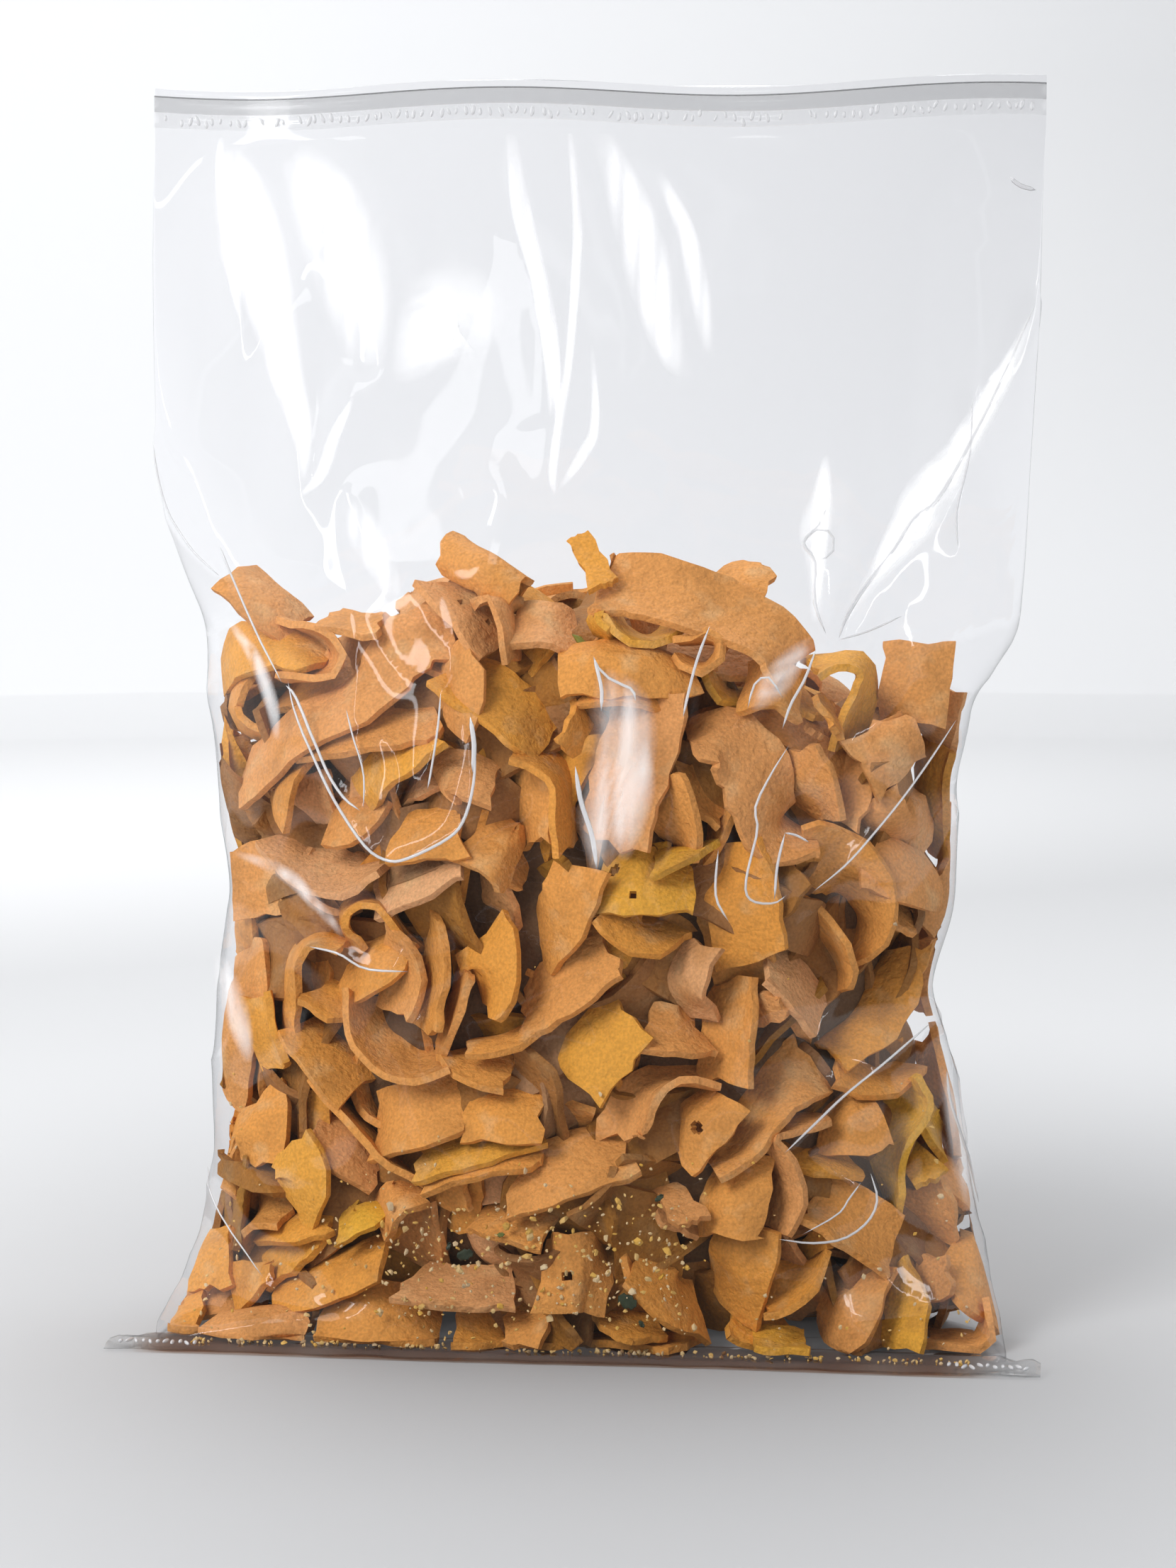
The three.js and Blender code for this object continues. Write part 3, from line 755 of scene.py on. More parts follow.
# %% Middle right of the heap
MIDDLE_RIGHT = {
    "yellow_block": (19, 0.85, 0, 0, ((847, 1243, 66), (903, 1245, 72), (972, 1240, 62))),
    "yellow_wing": (14, 0.8, 1, 0, ((925, 1215, 26), (955, 1204, 22), (984, 1193, 10))),
    "big_rectangle": (20, 0.5, 0, 0, ((1036, 1190, 62), (1050, 1261, 82), (1061, 1356, 78))),
    "curled_cone": (20, 0.45, 0, 0, (
        (1128, 1205, 58), (1176, 1213, 74), (1216, 1246, 60), (1224, 1300, 46), (1200, 1330, 34))),
    "below_block": (17, 0.6, 2, 0, ((868, 1282, 46), (903, 1314, 50), (938, 1302, 40))),
    "fan_right": (17, 0.35, 3, 0, ((1227, 1209, 58), (1274, 1229), (1322, 1243))),
    "fan_right_low": (16, 0.4, 5, 0, ((1239, 1266, 40), (1280, 1284))),
    "far_right_plate": (17, 0.4, 4, 0, ((1310, 1249, 56), (1334, 1284))),
    "long_band_right": (18, 0.5, 0, 0, (
        (1276, 1338, 50), (1255, 1383, 66), (1223, 1435, 60), (1164, 1484, 44))),
    "tongue": (17, 0.4, 1, 0, ((1037, 1383, 44), (1033, 1443, 50), (1025, 1526, 50))),
    "ragged_chip": (14, 0.4, 3, 0, ((1069, 1403, 38), (1085, 1443))),
    "beside_rectangle": (16, 0.4, 4, 0, ((1085, 1363, 34), (1120, 1391), (1156, 1435))),
    "right_of_lit": (16, 0.45, 3, 0, ((913, 1450, 48), (958, 1458), (986, 1458))),
    "below_lit": (16, 0.5, 2, 0, ((936, 1508, 44), (974, 1498), (1006, 1494))),
    "triangle_s": (19, 0.5, 0, 0, (
        (1148, 1500, 84), (1108, 1526, 64), (1073, 1569, 45), (1045, 1613, 38), (998, 1644, 32))),
    "s_left": (16, 0.45, 1, 0, (
        (1002, 1530, 22), (958, 1526, 18), (915, 1541, 35), (891, 1577, 50), (879, 1605, 40))),
    "cratered_diamond": (17, 0.4, 1, 0, ((1021, 1549, 44), (986, 1585, 62), (954, 1624, 44))),
    "right_hook": (16, 0.45, 1, 0, (
        (1148, 1575, 14), (1100, 1585, 22), (1077, 1609, 22), (1100, 1648, 24), (1104, 1692, 38),
        (1085, 1735, 40))),
    "in_right_hook": (14, 0.5, 4, 0, ((1112, 1624, 28), (1156, 1632), (1199, 1640))),
    "bulge": (18, 0.5, 2, 60, ((1164, 1579, 66), (1207, 1579, 70), (1243, 1569, 60))),
    "yellow_fork": (16, 0.75, 0, 0, (
        (1278, 1518, 38), (1286, 1561, 55), (1263, 1601, 45), (1251, 1648, 42), (1259, 1700, 20))),
    "yellow_fork_arm": (13, 0.8, 0, 0, ((1290, 1560, 22), (1310, 1589), (1324, 1614, 14))),
    "beside_fork": (15, 0.6, 1, 0, ((1282, 1648, 38), (1316, 1632))),
    "right_tongue": (15, 0.5, 2, 0, ((1326, 1628, 28), (1342, 1660), (1365, 1684, 16))),
    "right_square": (17, 0.45, 1, 0, ((1297, 1670, 58), (1306, 1704, 66), (1311, 1740, 54))),
    "right_edge_strip": (16, 0.4, 5, 0, (
        (1318, 1458, 34), (1326, 1514, 40), (1350, 1569, 40), (1362, 1630, 30))),
    "broad_cylinder": (20, 0.4, 1, 90, ((1040, 1636, 66), (1029, 1696, 80), (1017, 1743, 70))),
    "crumbly_chip": (15, 0.4, 1, 0, ((938, 1704, 38), (978, 1692))),
    "crumbly_back": (16, 0.35, 4, 0, ((930, 1690, 52), (990, 1712))),
    "right_waist_back": (16, 0.35, 7, 0, ((1290, 1330, 36), (1310, 1380), (1290, 1420))),
    "middle_back": (16, 0.35, 8, 0, ((985, 1330, 40), (960, 1390), (975, 1430))),
    "lower_back": (16, 0.35, 8, 0, ((1180, 1500, 40), (1230, 1520), (1270, 1500))),
}

# %% Upper right of the heap
UPPER_RIGHT = {
    "ragged_lump": (17, 0.65, 5, 0, ((820, 802, 56), (851, 787, 58))),
    "big_arch": (20, 0.45, 3, 0, (
        (847, 832, 56), (899, 830, 65), (966, 846, 70), (1037, 874, 62), (1093, 908, 54),
        (1112, 944, 44))),
    "cube_top": (17, 0.55, 8, 0, ((1017, 807, 40), (1053, 819, 44), (1082, 832, 42))),
    "edge_loop": (13, 0.6, 2, 0, (
        (863, 898, 12), (840, 882), (843, 866), (859, 866), (879, 894), (919, 906), (950, 886),
        (970, 868, 18))),
    "big_band_right": (19, 0.4, 0, 0, (
        (784, 937, 52), (859, 933, 60), (919, 937, 60), (966, 939, 40))),
    "end_loop": (13, 0.45, 0, 0, (
        (962, 906, 9), (1006, 902), (1013, 921), (994, 941), (974, 933))),
    "loop_below": (14, 0.6, 4, 0, ((1002, 945, 20), (1021, 977), (1045, 973))),
    "beside_loop": (16, 0.45, 2, 0, ((1053, 975, 44), (1093, 967), (1128, 985))),
    "square_loop": (15, 0.5, 2, 0, (
        (1144, 945, 22), (1176, 937, 15), (1211, 940, 20), (1219, 969, 20), (1203, 1012, 25),
        (1188, 1052, 22))),
    "chip_a": (11, 0.6, 3, 0, ((1112, 986, 22), (1146, 996, 18))),
    "chip_b": (10, 0.5, 3, 0, ((1136, 1014, 16), (1168, 1030, 16))),
    "chip_c": (10, 0.45, 5, 0, ((1162, 1000, 14), (1186, 1022, 18))),
    "upright": (18, 0.45, 4, 30, ((1300, 905, 78), (1292, 957, 84), (1284, 1018, 74))),
    "upright_beside": (15, 0.5, 2, 0, ((1328, 972, 46), (1318, 1012, 52), (1328, 1050, 36))),
    "ragged_plate": (18, 0.4, 1, 0, ((1226, 1026, 60), (1255, 1050, 74), (1270, 1096, 60))),
    "right_column": (17, 0.65, 2, 0, (
        (1328, 1048, 40), (1322, 1095, 52), (1318, 1147, 50), (1340, 1206, 36))),
    "s_plate": (20, 0.4, 0, 0, (
        (974, 1048, 30), (1021, 1040, 62), (1061, 1080, 78), (1077, 1127, 65), (1093, 1174, 55),
        (1148, 1182, 22))),
    "behind_arch": (19, 0.5, 4, 0, (
        (970, 1034, 30), (1013, 1002, 38), (1077, 1004, 50), (1156, 1040, 58), (1235, 1095, 56))),
    "behind_s": (17, 0.4, 3, 0, ((1122, 1056, 46), (1136, 1095, 50), (1164, 1158, 30))),
    "rolled_left": (17, 0.45, 1, 110, ((1223, 1122, 52), (1235, 1155, 60), (1255, 1190, 50))),
    "rolled_right": (16, 0.45, 2, 60, ((1260, 1111, 34), (1286, 1147, 45), (1310, 1190, 36))),
    "shadow_plate": (16, 0.35, 8, 0, ((974, 1072, 44), (990, 1115), (1021, 1139))),
    "upright_leaf": (15, 0.5, 1, 0, ((938, 1095, 34), (950, 1147, 48), (966, 1196, 20))),
    "leaning_leaf": (14, 0.5, 2, 0, ((1029, 1131, 20), (1006, 1171, 26), (988, 1204, 14))),
    "pale_plate": (20, 0.3, 1, 0, (
        (925, 974, 60), (907, 1040, 85), (883, 1115, 76), (868, 1196, 64))),
    "below_arch": (17, 0.35, 7, 0, ((940, 905, 36), (1000, 925), (1060, 930), (1100, 950))),
    "right_shadow": (16, 0.35, 9, 0, ((1200, 1060, 50), (1190, 1110), (1175, 1160))),
    "far_right_low": (16, 0.45, 5, 0, ((1346, 1130, 34), (1350, 1190), (1344, 1250))),
    "middle_shadow": (17, 0.3, 10, 0, ((820, 1090, 50), (830, 1150), (820, 1205))),
}

# %% Foot of the heap
FOOT = {
    "corner_tip": (17, 0.5, 1, 0, ((196, 1884, 28), (239, 1872, 34), (284, 1852, 36))),
    "upright_square": (18, 0.5, 3, 0, ((279, 1779, 60), (324, 1770, 62))),
    "square_beside": (15, 0.5, 4, 0, ((352, 1780, 34), (355, 1834, 34))),
    "rolled_foot": (20, 0.4, 0, 130, ((296, 1866, 52), (351, 1863, 58), (428, 1852, 50))),
    "stick": (11, 0.6, 0, 0, ((378, 1792, 28), (418, 1765), (460, 1733, 26))),
    "long_low_strip": (16, 0.4, 1, 0, ((391, 1822, 40), (462, 1801, 46), (543, 1765, 38))),
    "big_low_plate": (20, 0.45, 0, 40, ((456, 1852, 64), (529, 1850, 80), (620, 1874, 64))),
    "beside_low_plate": (16, 0.45, 3, 0, ((579, 1812, 40), (641, 1819), (726, 1819))),
    "low_strip": (16, 0.5, 1, 0, ((641, 1877, 54), (708, 1877))),
    "low_strip_right": (16, 0.4, 2, 0, ((717, 1868, 50), (772, 1868))),
    "upright_brown": (17, 0.3, 5, 0, ((583, 1694, 50), (587, 1738, 58), (592, 1779, 56))),
    "middle_upright": (15, 0.4, 6, 0, ((645, 1658, 44), (645, 1728, 44))),
    "low_shadow_plate": (18, 0.35, 8, 0, ((686, 1703, 56), (730, 1716), (784, 1729))),
    "crumbly_disc": (20, 0.45, 0, 20, ((762, 1800, 74), (811, 1794, 98), (858, 1800, 78))),
    "rectangle": (20, 0.45, 0, 0, ((1140, 1693, 66), (1202, 1724, 70), (1258, 1764, 68))),
    "rectangle_below": (15, 0.6, 2, 0, ((1140, 1740, 36), (1148, 1772))),
    "lobe": (20, 0.5, 1, 30, ((1061, 1724, 46), (1045, 1778, 76), (1028, 1845, 52))),
    "leaf_piece": (17, 0.5, 0, 0, ((1140, 1778, 48), (1119, 1816, 60), (1082, 1842, 34))),
    "twisted": (20, 0.45, 0, 0, ((1215, 1790, 70), (1198, 1840, 60), (1171, 1905, 46))),
    "holed_piece": (20, 0.5, 0, 0, ((1248, 1802, 46), (1260, 1849, 74), (1256, 1905, 60))),
    "right_low_plate": (18, 0.4, 3, 0, ((1298, 1776, 58), (1302, 1834, 62))),
    "right_corner": (19, 0.5, 1, 0, ((1339, 1768, 54), (1372, 1791, 68), (1387, 1862, 34))),
    "bottom_loop": (18, 0.5, 0, 0, ((1385, 1865, 18), (1377, 1894), (1343, 1907), (1310, 1890))),
    "broken_low": (16, 0.45, 1, 0, ((1032, 1855, 42), (1070, 1872), (1107, 1866))),
    "thin_low": (14, 0.5, 1, 0, ((1061, 1890, 20), (1136, 1899))),
    "centre_low": (15, 0.4, 4, 0, ((854, 1876, 30), (933, 1866))),
    "base_strip": (16, 0.3, 3, 0, ((850, 1905, 24), (974, 1897))),
    "left_foot_back": (17, 0.4, 5, 0, ((260, 1830, 40), (320, 1820), (380, 1830))),
    "foot_gap_a": (17, 0.4, 5, 0, ((900, 1780, 50), (940, 1830), (985, 1850))),
    "foot_gap_b": (16, 0.4, 6, 0, ((480, 1760, 44), (540, 1800), (590, 1850))),
    "foot_gap_c": (17, 0.35, 7, 0, ((1150, 1850, 46), (1100, 1780), (1080, 1740))),
}

reach_back = []
for rows_of_ribbons in (UPPER_LEFT, MIDDLE_LEFT, MIDDLE_RIGHT, UPPER_RIGHT, FOOT):
    order = sorted(rows_of_ribbons.items(), key=lambda item: item[1][2])
    for name, (width, tone, depth, cup, stations) in order:
        overlap, behind = lay_by_photograph(name, width, tone, depth, cup, stations)
        reach_back.append(behind)
print("ribbons laid by the photograph:", len(reach_back),
      "mean depth", round(float(np.mean(reach_back)), 1), "mm,",
      "cells filled:", round(float(filled.mean()), 3))

# %% [markdown]
# ## The rest of the heap
# The photograph shows only the front. The back, the sides and the depth of the heap are filled
# by chance: hundreds of curled strips are proposed at once, and the ones that fit best into
# free cells are laid. The draws are seeded, so the heap is the same each time. A curled strip
# has a middle line that bends by a steady angle, a twist along it, and a cup across it.

# %% The top of the heap
HEAP_TOP = 176.0
HEAP_HALF_WIDTH, HEAP_HALF_DEPTH = 95.0, 44.0


def heap_top(across):
    """How high the heap reaches: one low mound in the middle and a notch on the right."""
    mound = 18 * np.exp(-(((across + 8) / 48) ** 2))
    notch = 14 * np.exp(-(((across - 70) / 13) ** 2))
    edge = 10 * np.clip((np.abs(across) - 80) / 20, 0, 1)
    return HEAP_TOP + mound - notch - edge


print("top of the heap in the middle:", round(float(heap_top(0.0)), 1), "mm")

# %% Curled strips
STRIP_LENGTHS = (30, 68)
STRIP_WIDTHS = (14, 20)


def curled_strips(rng, count, rows=10, columns=4):
    """`count` curled strips round the origin, facing +Z."""
    length = rng.uniform(*STRIP_LENGTHS, count)[:, None]
    width = rng.uniform(*STRIP_WIDTHS, count)[:, None]
    bend = np.radians(rng.normal(-45, 95, count))[:, None]
    sway = np.radians(rng.normal(0, 26, count))[:, None]
    twist = np.radians(rng.normal(0, 38, count))[:, None]
    cup = rng.normal(0, 0.10, count)[:, None]
    s = np.linspace(-0.5, 0.5, rows + 1)[None, :]
    curl = bend * s + np.radians(rng.normal(0, 50, count))[:, None] * (s * s - 1 / 12)
    side = sway * s
    steps = np.stack([np.cos(curl) * np.cos(side), np.sin(side), np.sin(curl) * np.cos(side)], -1)
    middle = np.cumsum(steps, axis=1) * (length / rows)[..., None]
    middle -= middle[:, rows // 2:rows // 2 + 1]
    turn = twist * s
    level = np.stack([-np.sin(side) * np.ones_like(curl), np.cos(side) * np.ones_like(curl),
                      np.zeros_like(curl)], -1)
    normal = np.cross(steps, level)
    edge = np.cos(turn)[..., None] * level + np.sin(turn)[..., None] * normal
    face = np.cross(steps, edge)
    t = np.linspace(-0.5, 0.5, columns + 1)
    across = (t * width)[:, None, :, None] * edge[:, :, None]
    dip = (cup * width * (4 * t**2 - 1))[:, None, :, None] * face[:, :, None]
    return middle[:, :, None] + across + dip


def away_from_middle(x, y):
    """Which way is out of the heap's oval at level points, not yet of unit length."""
    return np.stack([x / HEAP_HALF_WIDTH**2, y / HEAP_HALF_DEPTH**2, np.zeros(len(x))], -1)


def facing(rng, normals):
    """One random turn for each row of `normals`, that brings +Z to face along it."""
    normals = unit(normals)
    other = unit(np.cross(normals, unit(rng.normal(size=normals.shape))))
    return np.stack([other, np.cross(normals, other), normals], axis=-1)


# %% Lay strips by chance
CHANCE_LOW = (10 - HALF, -52.0, 6.0)
CHANCE_HIGH = (HALF - 10, 52.0, 197.0)
SPOTS_DRAWN, STRIPS_FORMED, STRIPS_TRIED = 2600, 360, 40
TOP_MARGIN = 5.0
MOST_OUTSIDE = 5
MOST_HIDDEN = 0.06
QUICK_SHARE = 1.0


def lay_by_chance(rng, batch, clearances, rounds, limit, scatter, most):
    """Fills free cells with strips whose middle lies between two clearances from the film."""
    laid = 0
    for _ in range(rounds):
        spots = rng.uniform(CHANCE_LOW, CHANCE_HIGH, (SPOTS_DRAWN, 3))
        left, right = cut_at(spots[:, 2])[:2]
        front, back = film_walls(spots[:, 0], spots[:, 2])
        gap = np.minimum(spots[:, 1] - front, back - spots[:, 1])
        gap = np.minimum(gap, np.minimum(spots[:, 0] - left, right - spots[:, 0]) * 0.9)
        fits = (gap > clearances[0]) & (gap < clearances[1])
        fits &= spots[:, 2] < heap_top(spots[:, 0]) - TOP_MARGIN
        fits &= ~filled[cells_of(spots)]
        spots = spots[fits][:STRIPS_FORMED]
        if len(spots) == 0:
            continue
        outward = away_from_middle(spots[:, 0], spots[:, 1])
        near_top = np.clip((spots[:, 2] - heap_top(spots[:, 0]) + 24) / 24, 0, 1)[:, None]
        outward = unit(outward) * (1 - near_top) + np.array([0, 0, 1.0]) * near_top
        turns = facing(rng, outward + rng.normal(0, scatter, outward.shape))
        strips = np.einsum("kab,kijb->kija", turns, curled_strips(rng, len(spots)))
        strips = strips + spots[:, None, None, :]
        over = np.maximum(out_of_film(strips), 0)
        top = strips[..., 2] - heap_top(strips[..., 0]) + 1.5
        bad = (over.max(axis=(1, 2)) > MOST_OUTSIDE) | (top.max(axis=(1, 2)) > 0)
        bad |= strips[..., 2].min(axis=(1, 2)) < -3
        share = filled[cells_of(strips)].reshape(len(strips), -1).mean(axis=1) + bad
        for k in np.argsort(share)[:STRIPS_TRIED]:
            if share[k] > limit:
                break
            strip = keep_inside(strips[k])
            if overlap_of(strip) > limit or hides_of(finer(strip, 2)) > MOST_HIDDEN:
                continue
            strip = keep_inside(roughened(strip, rng))
            fill_cells(strip)
            tone = float(np.clip(rng.normal(0.45, 0.16), 0, 1))
            add_ribbon(batch, strip, tone)
            laid += 1
            if laid >= most:
                return laid
    return laid


# name: (clearances from the film in mm, rounds, most overlap, scatter of the turns, most strips)
BY_CHANCE = {
    "murukku_outer": ((3, 14), 34, 0.06, 0.40, 220),
    "murukku_back": ((3, 20), 34, 0.14, 0.6, 220),
    "murukku_inner": ((5, 24), 34, 0.28, 0.6, 200),
}
chance = np.random.default_rng(47)
laid_counts = []
for batch, (clearances, rounds, limit, scatter, most) in BY_CHANCE.items():
    rounds = int(rounds * QUICK_SHARE)
    laid_counts.append(lay_by_chance(chance, batch, clearances, rounds, limit, scatter, most))
print("ribbons laid by chance:", laid_counts)

# %% [markdown]
# Chance leaves holes, and the bare core would show through them. The last strips are laid only
# where a straight line in from the film meets nothing for a while, on the front, the sides and
# the back alike.

# %% Close the gaps
GAP_DEPTH = 13.0
GAP_MOST_HIDDEN = 0.03
GAP_ROUNDS = 60
GAP_TRIES = 22
MOST_GAP_STRIPS = 180
INNER_BATCHES = ("murukku_inner", "murukku_gaps")


def film_spots(rng, count):
    """Random points of the film below the heap's top, and which way is out, in mm."""
    height = rng.uniform(5, 188, count)
    turn = rng.uniform(0, 2 * np.pi, count)
    left, right = cut_at(height)[:2]
    x = (left + right) / 2 + (right - left) / 2 * np.cos(turn) * 0.97
    front, back = film_walls(x, height)
    y = np.where(np.sin(turn) > 0, back, front)
    outward = unit(away_from_middle(x, y))
    below = height < heap_top(x) - 8
    return np.stack([x, y, height], -1)[below], outward[below]


def is_gap(spots, outward):
    """Whether nothing lies behind each point of the film for GAP_DEPTH."""
    way_is_free = np.ones(len(spots), bool)
    for depth in np.arange(1.5, GAP_DEPTH, 1.2):
        way_is_free &= ~filled[cells_of(spots - outward * depth)]
    return way_is_free


def close_gap(rng, spot, outward, batch):
    """Lays the strip that crosses others the least over one gap, if any keeps clear enough."""
    middles = spot - outward * rng.uniform(7.0, 12.5, (GAP_TRIES, 1))
    turns = facing(rng, outward + rng.normal(0, 0.5, (GAP_TRIES, 3)))
    strips = np.einsum("kab,kijb->kija", turns, curled_strips(rng, GAP_TRIES))
    strips = strips + middles[:, None, None, :]
    fitting = []
    for k, strip in enumerate(strips):
        strip = keep_inside(strip)
        too_high = (strip[..., 2] > heap_top(strip[..., 0])).any()
        if too_high or hides_of(finer(strip, 2)) > GAP_MOST_HIDDEN:
            continue
        fitting.append((overlap_of(strip), k, strip))
    if not fitting:
        return 0
    strip = keep_inside(roughened(min(fitting, key=lambda one: one[:2])[2], rng))
    fill_cells(strip)
    add_ribbon(batch, strip, float(np.clip(rng.normal(0.42, 0.15), 0, 1)))
    return 1


closed = 0
for _ in range(GAP_ROUNDS):
    spots, outward = film_spots(chance, 700)
    for k in np.flatnonzero(is_gap(spots, outward))[:14]:
        if closed < MOST_GAP_STRIPS and is_gap(spots[k:k + 1], outward[k:k + 1])[0]:
            closed += close_gap(chance, spots[k], outward[k], "murukku_gaps")
spots, outward = film_spots(chance, 6000)
print("strips over gaps:", closed, "share still open:", round(float(is_gap(spots, outward).mean()), 3))

# %% [markdown]
# Each batch becomes one object. Solidify gives every strip its thickness on both sides of the
# middle surface, one level of subdivision rounds the broken edges, and Edge Split keeps the
# rims crisp. All three modifiers stay live.

# %% Turn the batches into objects
def new_object(name, bm, finish, smooth):
    """Makes a bmesh an object with one finish, in the scene."""
    mesh = bpy.data.meshes.new(name)
    bm.to_mesh(mesh)
    bm.free()
    for polygon in mesh.polygons:
        polygon.use_smooth = smooth
    made = bpy.data.objects.new(name, mesh)
    bpy.context.scene.collection.objects.link(made)
    mesh.materials.append(finish)
    return made


def finish_piece(name, bm, finish, smooth=True):
    """Makes a bmesh an object that stands for the bag's solid and rides on its body."""
    piece = new_object(name, bm, finish, smooth)
    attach(piece, "root")
    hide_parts("bag")
    return piece


def thicken(piece, thickness, edge=0.0):
    solidify = piece.modifiers.new("thickness", "SOLIDIFY")
    solidify.thickness = thickness * MM
    solidify.offset = 0
    solidify.edge_crease_outer = edge
    solidify.edge_crease_inner = edge
    solidify.edge_crease_rim = edge


def sharpen(piece, angle=38.0):
    """Shades edges that bend more than an angle as sharp, such as a broken rim."""
    split = piece.modifiers.new("crisp_rims", "EDGE_SPLIT")
    split.split_angle = math.radians(angle)


def subdivide(piece, levels=1):
    subdivision = piece.modifiers.new("rounding", "SUBSURF")
    subdivision.levels = levels
    subdivision.render_levels = levels


for batch, bm in batches.items():
    # Inner and gap strips take the darker dough, a painted shade deep in the heap.
    piece = finish_piece(batch, bm, inner_dough_painted_shade if batch in INNER_BATCHES else dough)
    thicken(piece, RIBBON_THICKNESS, edge=0.9)
    subdivide(piece)
    sharpen(piece)
    print(batch, len(piece.data.polygons), "faces before thickness")

# %% [markdown]
# ## The core of the heap
# Deep gaps would otherwise let the light through the whole bag. A dark, lumpy core stands for
# the tightly packed broken pieces in the middle, well behind the ribbons that show. Its dough is
# darkened to a painted shade of the heap's deep middle.

# %% Core
def wrapped(bm, rows, columns, place):
    """A grid whose points go to place(i, j), in mm; gives its vertices."""
    grid = new_grid(bm, rows, columns)
    for vertex, i, j in grid:
        vertex.co = Vector(place(i, j)) * MM
    return [vertex for vertex, _, _ in grid]


def close_seams(bm, distance=1e-6):
    """Joins edges of a grid that meet, and turns all faces outwards."""
    bmesh.ops.remove_doubles(bm, verts=bm.verts, dist=distance)
    bmesh.ops.dissolve_degenerate(bm, dist=distance, edges=bm.edges)
    bmesh.ops.recalc_face_normals(bm, faces=bm.faces)


CORE_ROWS, CORE_COLUMNS = 40, 64
CORE_INSET = 17.0


def core_point(i, j):
    """A lumpy oval column, closed to a point at both ends."""
    share = i / CORE_ROWS
    height = 7 + share * (HEAP_TOP - 26)
    left, right, _, front, back = cut_at(height)[:5]
    round_end = math.sqrt(max(0.0, 1 - abs(2 * share - 1) ** 6))
    angle = 2 * math.pi * (j % CORE_COLUMNS) / CORE_COLUMNS
    wide = (right - left) / 2 - CORE_INSET
    deep = (back - front) / 2 - CORE_INSET
    x = (left + right) / 2 + wide * round_end * math.cos(angle)
    y = (front + back) / 2 + SHIFT_BACK + deep * round_end * math.sin(angle)
    lump = noise.noise(Vector((x, y, height)) * 0.06) * 4 * round_end
    return x + lump * math.cos(angle), y + lump * math.sin(angle), height


bm = bmesh.new()
wrapped(bm, CORE_ROWS, CORE_COLUMNS, core_point)
close_seams(bm)
core = finish_piece("heap_core", bm, core_dough_painted_shade)
print("core faces:", len(core.data.polygons))
